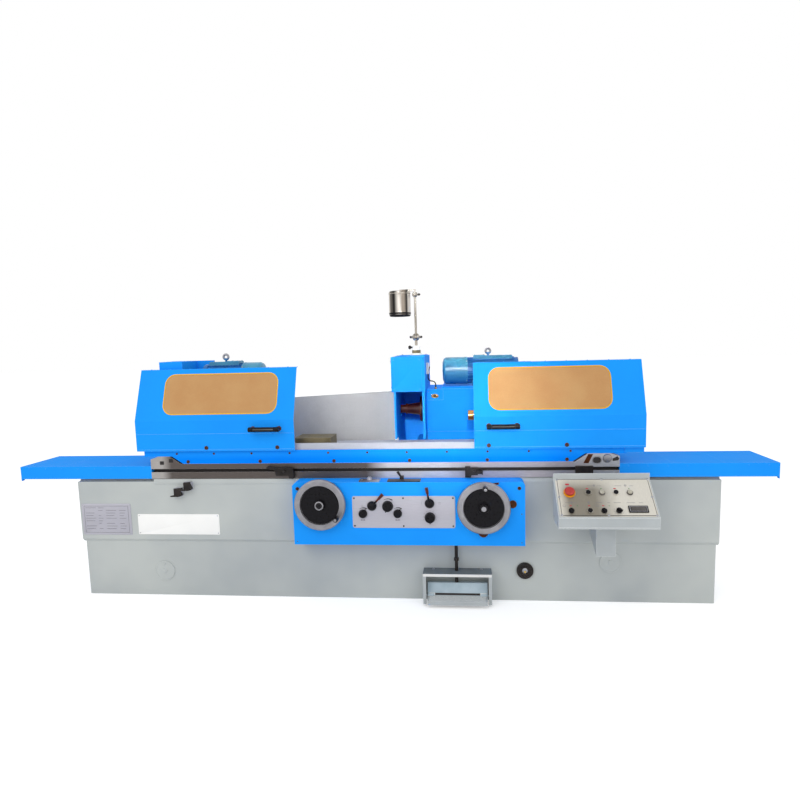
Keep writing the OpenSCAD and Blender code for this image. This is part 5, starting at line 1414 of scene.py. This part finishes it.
class GRINDER_OT_stage(GrinderStep, bpy.types.Operator):
    """Sets up the floor, the lamps and the camera"""

    bl_idname = "grinder.stage"
    bl_label = "Stage"

    def make(self, sizes, colours):
        bpy.context.scene.view_settings.view_transform = "Standard"
        self.add_floor(colours.floor)
        self.add_lamps()
        self.add_camera()

    def add_floor(self, colour):
        """A pale floor that glows a little to the camera and keeps the machine's shadow."""
        cover = bpy.data.materials.new("painted_studio_floor")
        cover.use_nodes = True
        tree = cover.node_tree
        tree.nodes.clear()
        # Smooth emulsion over board: even and white, with a faint roller grain 4 mm across
        place = add(tree, "TexCoord").outputs["Object"]
        grain = add(tree, "TexNoise", {"Vector": place, "Scale": 1000 / 4}).outputs[0]
        raised = add(tree, "Bump", {"Height": grain, "Strength": 0.1,
                                    "Distance": 0.0002}).outputs[0]
        matt = add(tree, "BsdfDiffuse", {"Color": colour, "Normal": raised}).outputs[0]
        seen = add(tree, "LightPath").outputs["Is Camera Ray"]
        lift = add(tree, "Math", {0: seen, 1: 0.34}, operation="MULTIPLY").outputs[0]
        glow = add(tree, "Emission", {"Color": colour, "Strength": lift}).outputs[0]
        both = add(tree, "AddShader", {0: matt, 1: glow}).outputs[0]
        add(tree, "OutputMaterial", {"Surface": both})
        data = bpy.data.meshes.new("studio_floor")
        half = 40
        data.from_pydata([(x * half, y * half, 0) for x, y in square((-1, 1), (-1, 1))],
                         [], [(0, 1, 2, 3)])
        data.materials.append(cover)
        ground = bpy.data.objects.new("studio_floor", data)
        bpy.context.scene.collection.objects.link(ground)
        ground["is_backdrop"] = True

    def add_lamps(self):
        """An even white surround, two large soft lamps and a narrow one on the wheelhead."""
        scene = bpy.context.scene
        world = bpy.data.worlds.new("soft_studio")
        scene.world = world
        world.use_nodes = True
        tree = world.node_tree
        tree.nodes.clear()
        rays = add(tree, "LightPath").outputs
        seen = add(tree, "Math", {0: rays["Is Camera Ray"], 1: rays["Is Glossy Ray"]},
                   operation="MAXIMUM").outputs[0]
        level = add(tree, "MapRange", {"Value": seen, "To Min": 0.78, "To Max": 1.0}).outputs[0]
        sky = add(tree, "Background", {"Color": (1, 1, 1, 1), "Strength": level}).outputs[0]
        add(tree, "OutputWorld", {"Surface": sky})

        low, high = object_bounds()
        middle = (Vector(low) + Vector(high)) / 2
        guard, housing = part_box("wheel_guard"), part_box("wheelhead_housing")
        head = Vector((guard[1][0], guard[0][1], (housing[0][2] + housing[1][2]) / 2))
        for name, at, aim, size, power, spread_angle in (
                ("key", (-2.6, -4.2, 4.4), middle, 4.0, 85, 180),
                ("fill", (3.6, -3.4, 2.8), middle, 4.0, 35, 180),
                ("head_light", (0.5, -4.2, 2.6), head + Vector((0.12, 0, 0.05)), 1.0, 2.4, 12)):
            light = bpy.data.lights.new(name, "AREA")
            light.shape, light.size, light.energy = "SQUARE", size, power
            light.spread = math.radians(spread_angle)
            lamp = bpy.data.objects.new(name, light)
            lamp.location = at
            lamp.rotation_euler = (Vector(at) - aim).to_track_quat("Z", "Y").to_euler()
            scene.collection.objects.link(lamp)

    def add_camera(self):
        """A camera to the right of the middle, turned a little left and looking down."""
        scene = bpy.context.scene
        lens = bpy.data.cameras.new("camera")
        lens.lens, lens.sensor_width = 26.3, 36
        lens.shift_x, lens.shift_y = -0.0136, 0.0134
        lens.clip_end = 200
        camera = bpy.data.objects.new("camera", lens)
        eye, turn, dip, roll = (0.5547, -3.598, 1.565), 0.0981, 0.1147, -0.0262
        ahead = Vector((-math.sin(turn) * math.cos(dip), math.cos(turn) * math.cos(dip),
                        -math.sin(dip)))
        level_x = Vector((math.cos(turn), math.sin(turn), 0))
        level_y = level_x.cross(ahead)
        side = math.cos(roll) * level_x + math.sin(roll) * level_y
        top = -math.sin(roll) * level_x + math.cos(roll) * level_y
        camera.matrix_world = Matrix.Translation(eye) @ Matrix(
            (side, top, -ahead)).transposed().to_4x4()
        scene.collection.objects.link(camera)
        scene.camera = camera


STEPS = (GRINDER_OT_finishes, GRINDER_OT_hoods, GRINDER_OT_tables, GRINDER_OT_covers,
         GRINDER_OT_apron, GRINDER_OT_handwheels, GRINDER_OT_console, GRINDER_OT_bed,
         GRINDER_OT_wheelhead, GRINDER_OT_workhead, GRINDER_OT_lamp, GRINDER_OT_pedal,
         GRINDER_OT_stage)


class GRINDER_PT_steps(bpy.types.Panel):
    """Lists the steps that dress the machine"""

    bl_idname = "GRINDER_PT_steps"
    bl_label = "Cylindrical grinder"
    bl_space_type = "VIEW_3D"
    bl_region_type = "UI"
    bl_category = "Grinder"

    def draw(self, context):
        """Shows a button for each step, then the sizes and colours."""
        for step in STEPS:
            self.layout.operator(step.bl_idname)
        for group in (context.scene.grinder_sizes, context.scene.grinder_colours):
            for name in group.__annotations__:
                self.layout.prop(group, name)


CLASSES = (GrinderColours, GrinderSizes, *STEPS, GRINDER_PT_steps)


def register():
    """Registers the classes and their settings."""
    for cls in CLASSES:
        bpy.utils.register_class(cls)
    bpy.types.Scene.grinder_colours = bpy.props.PointerProperty(type=GrinderColours)
    bpy.types.Scene.grinder_sizes = bpy.props.PointerProperty(type=GrinderSizes)


def unregister():
    """Removes the settings and the classes."""
    del bpy.types.Scene.grinder_sizes
    del bpy.types.Scene.grinder_colours
    for cls in reversed(CLASSES):
        bpy.utils.unregister_class(cls)


def main():
    """Dresses the machine."""
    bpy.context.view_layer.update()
    register()
    for step in STEPS:
        group, name = step.bl_idname.split(".")
        getattr(getattr(bpy.ops, group), name)()


if __name__ == "__main__":
    main()
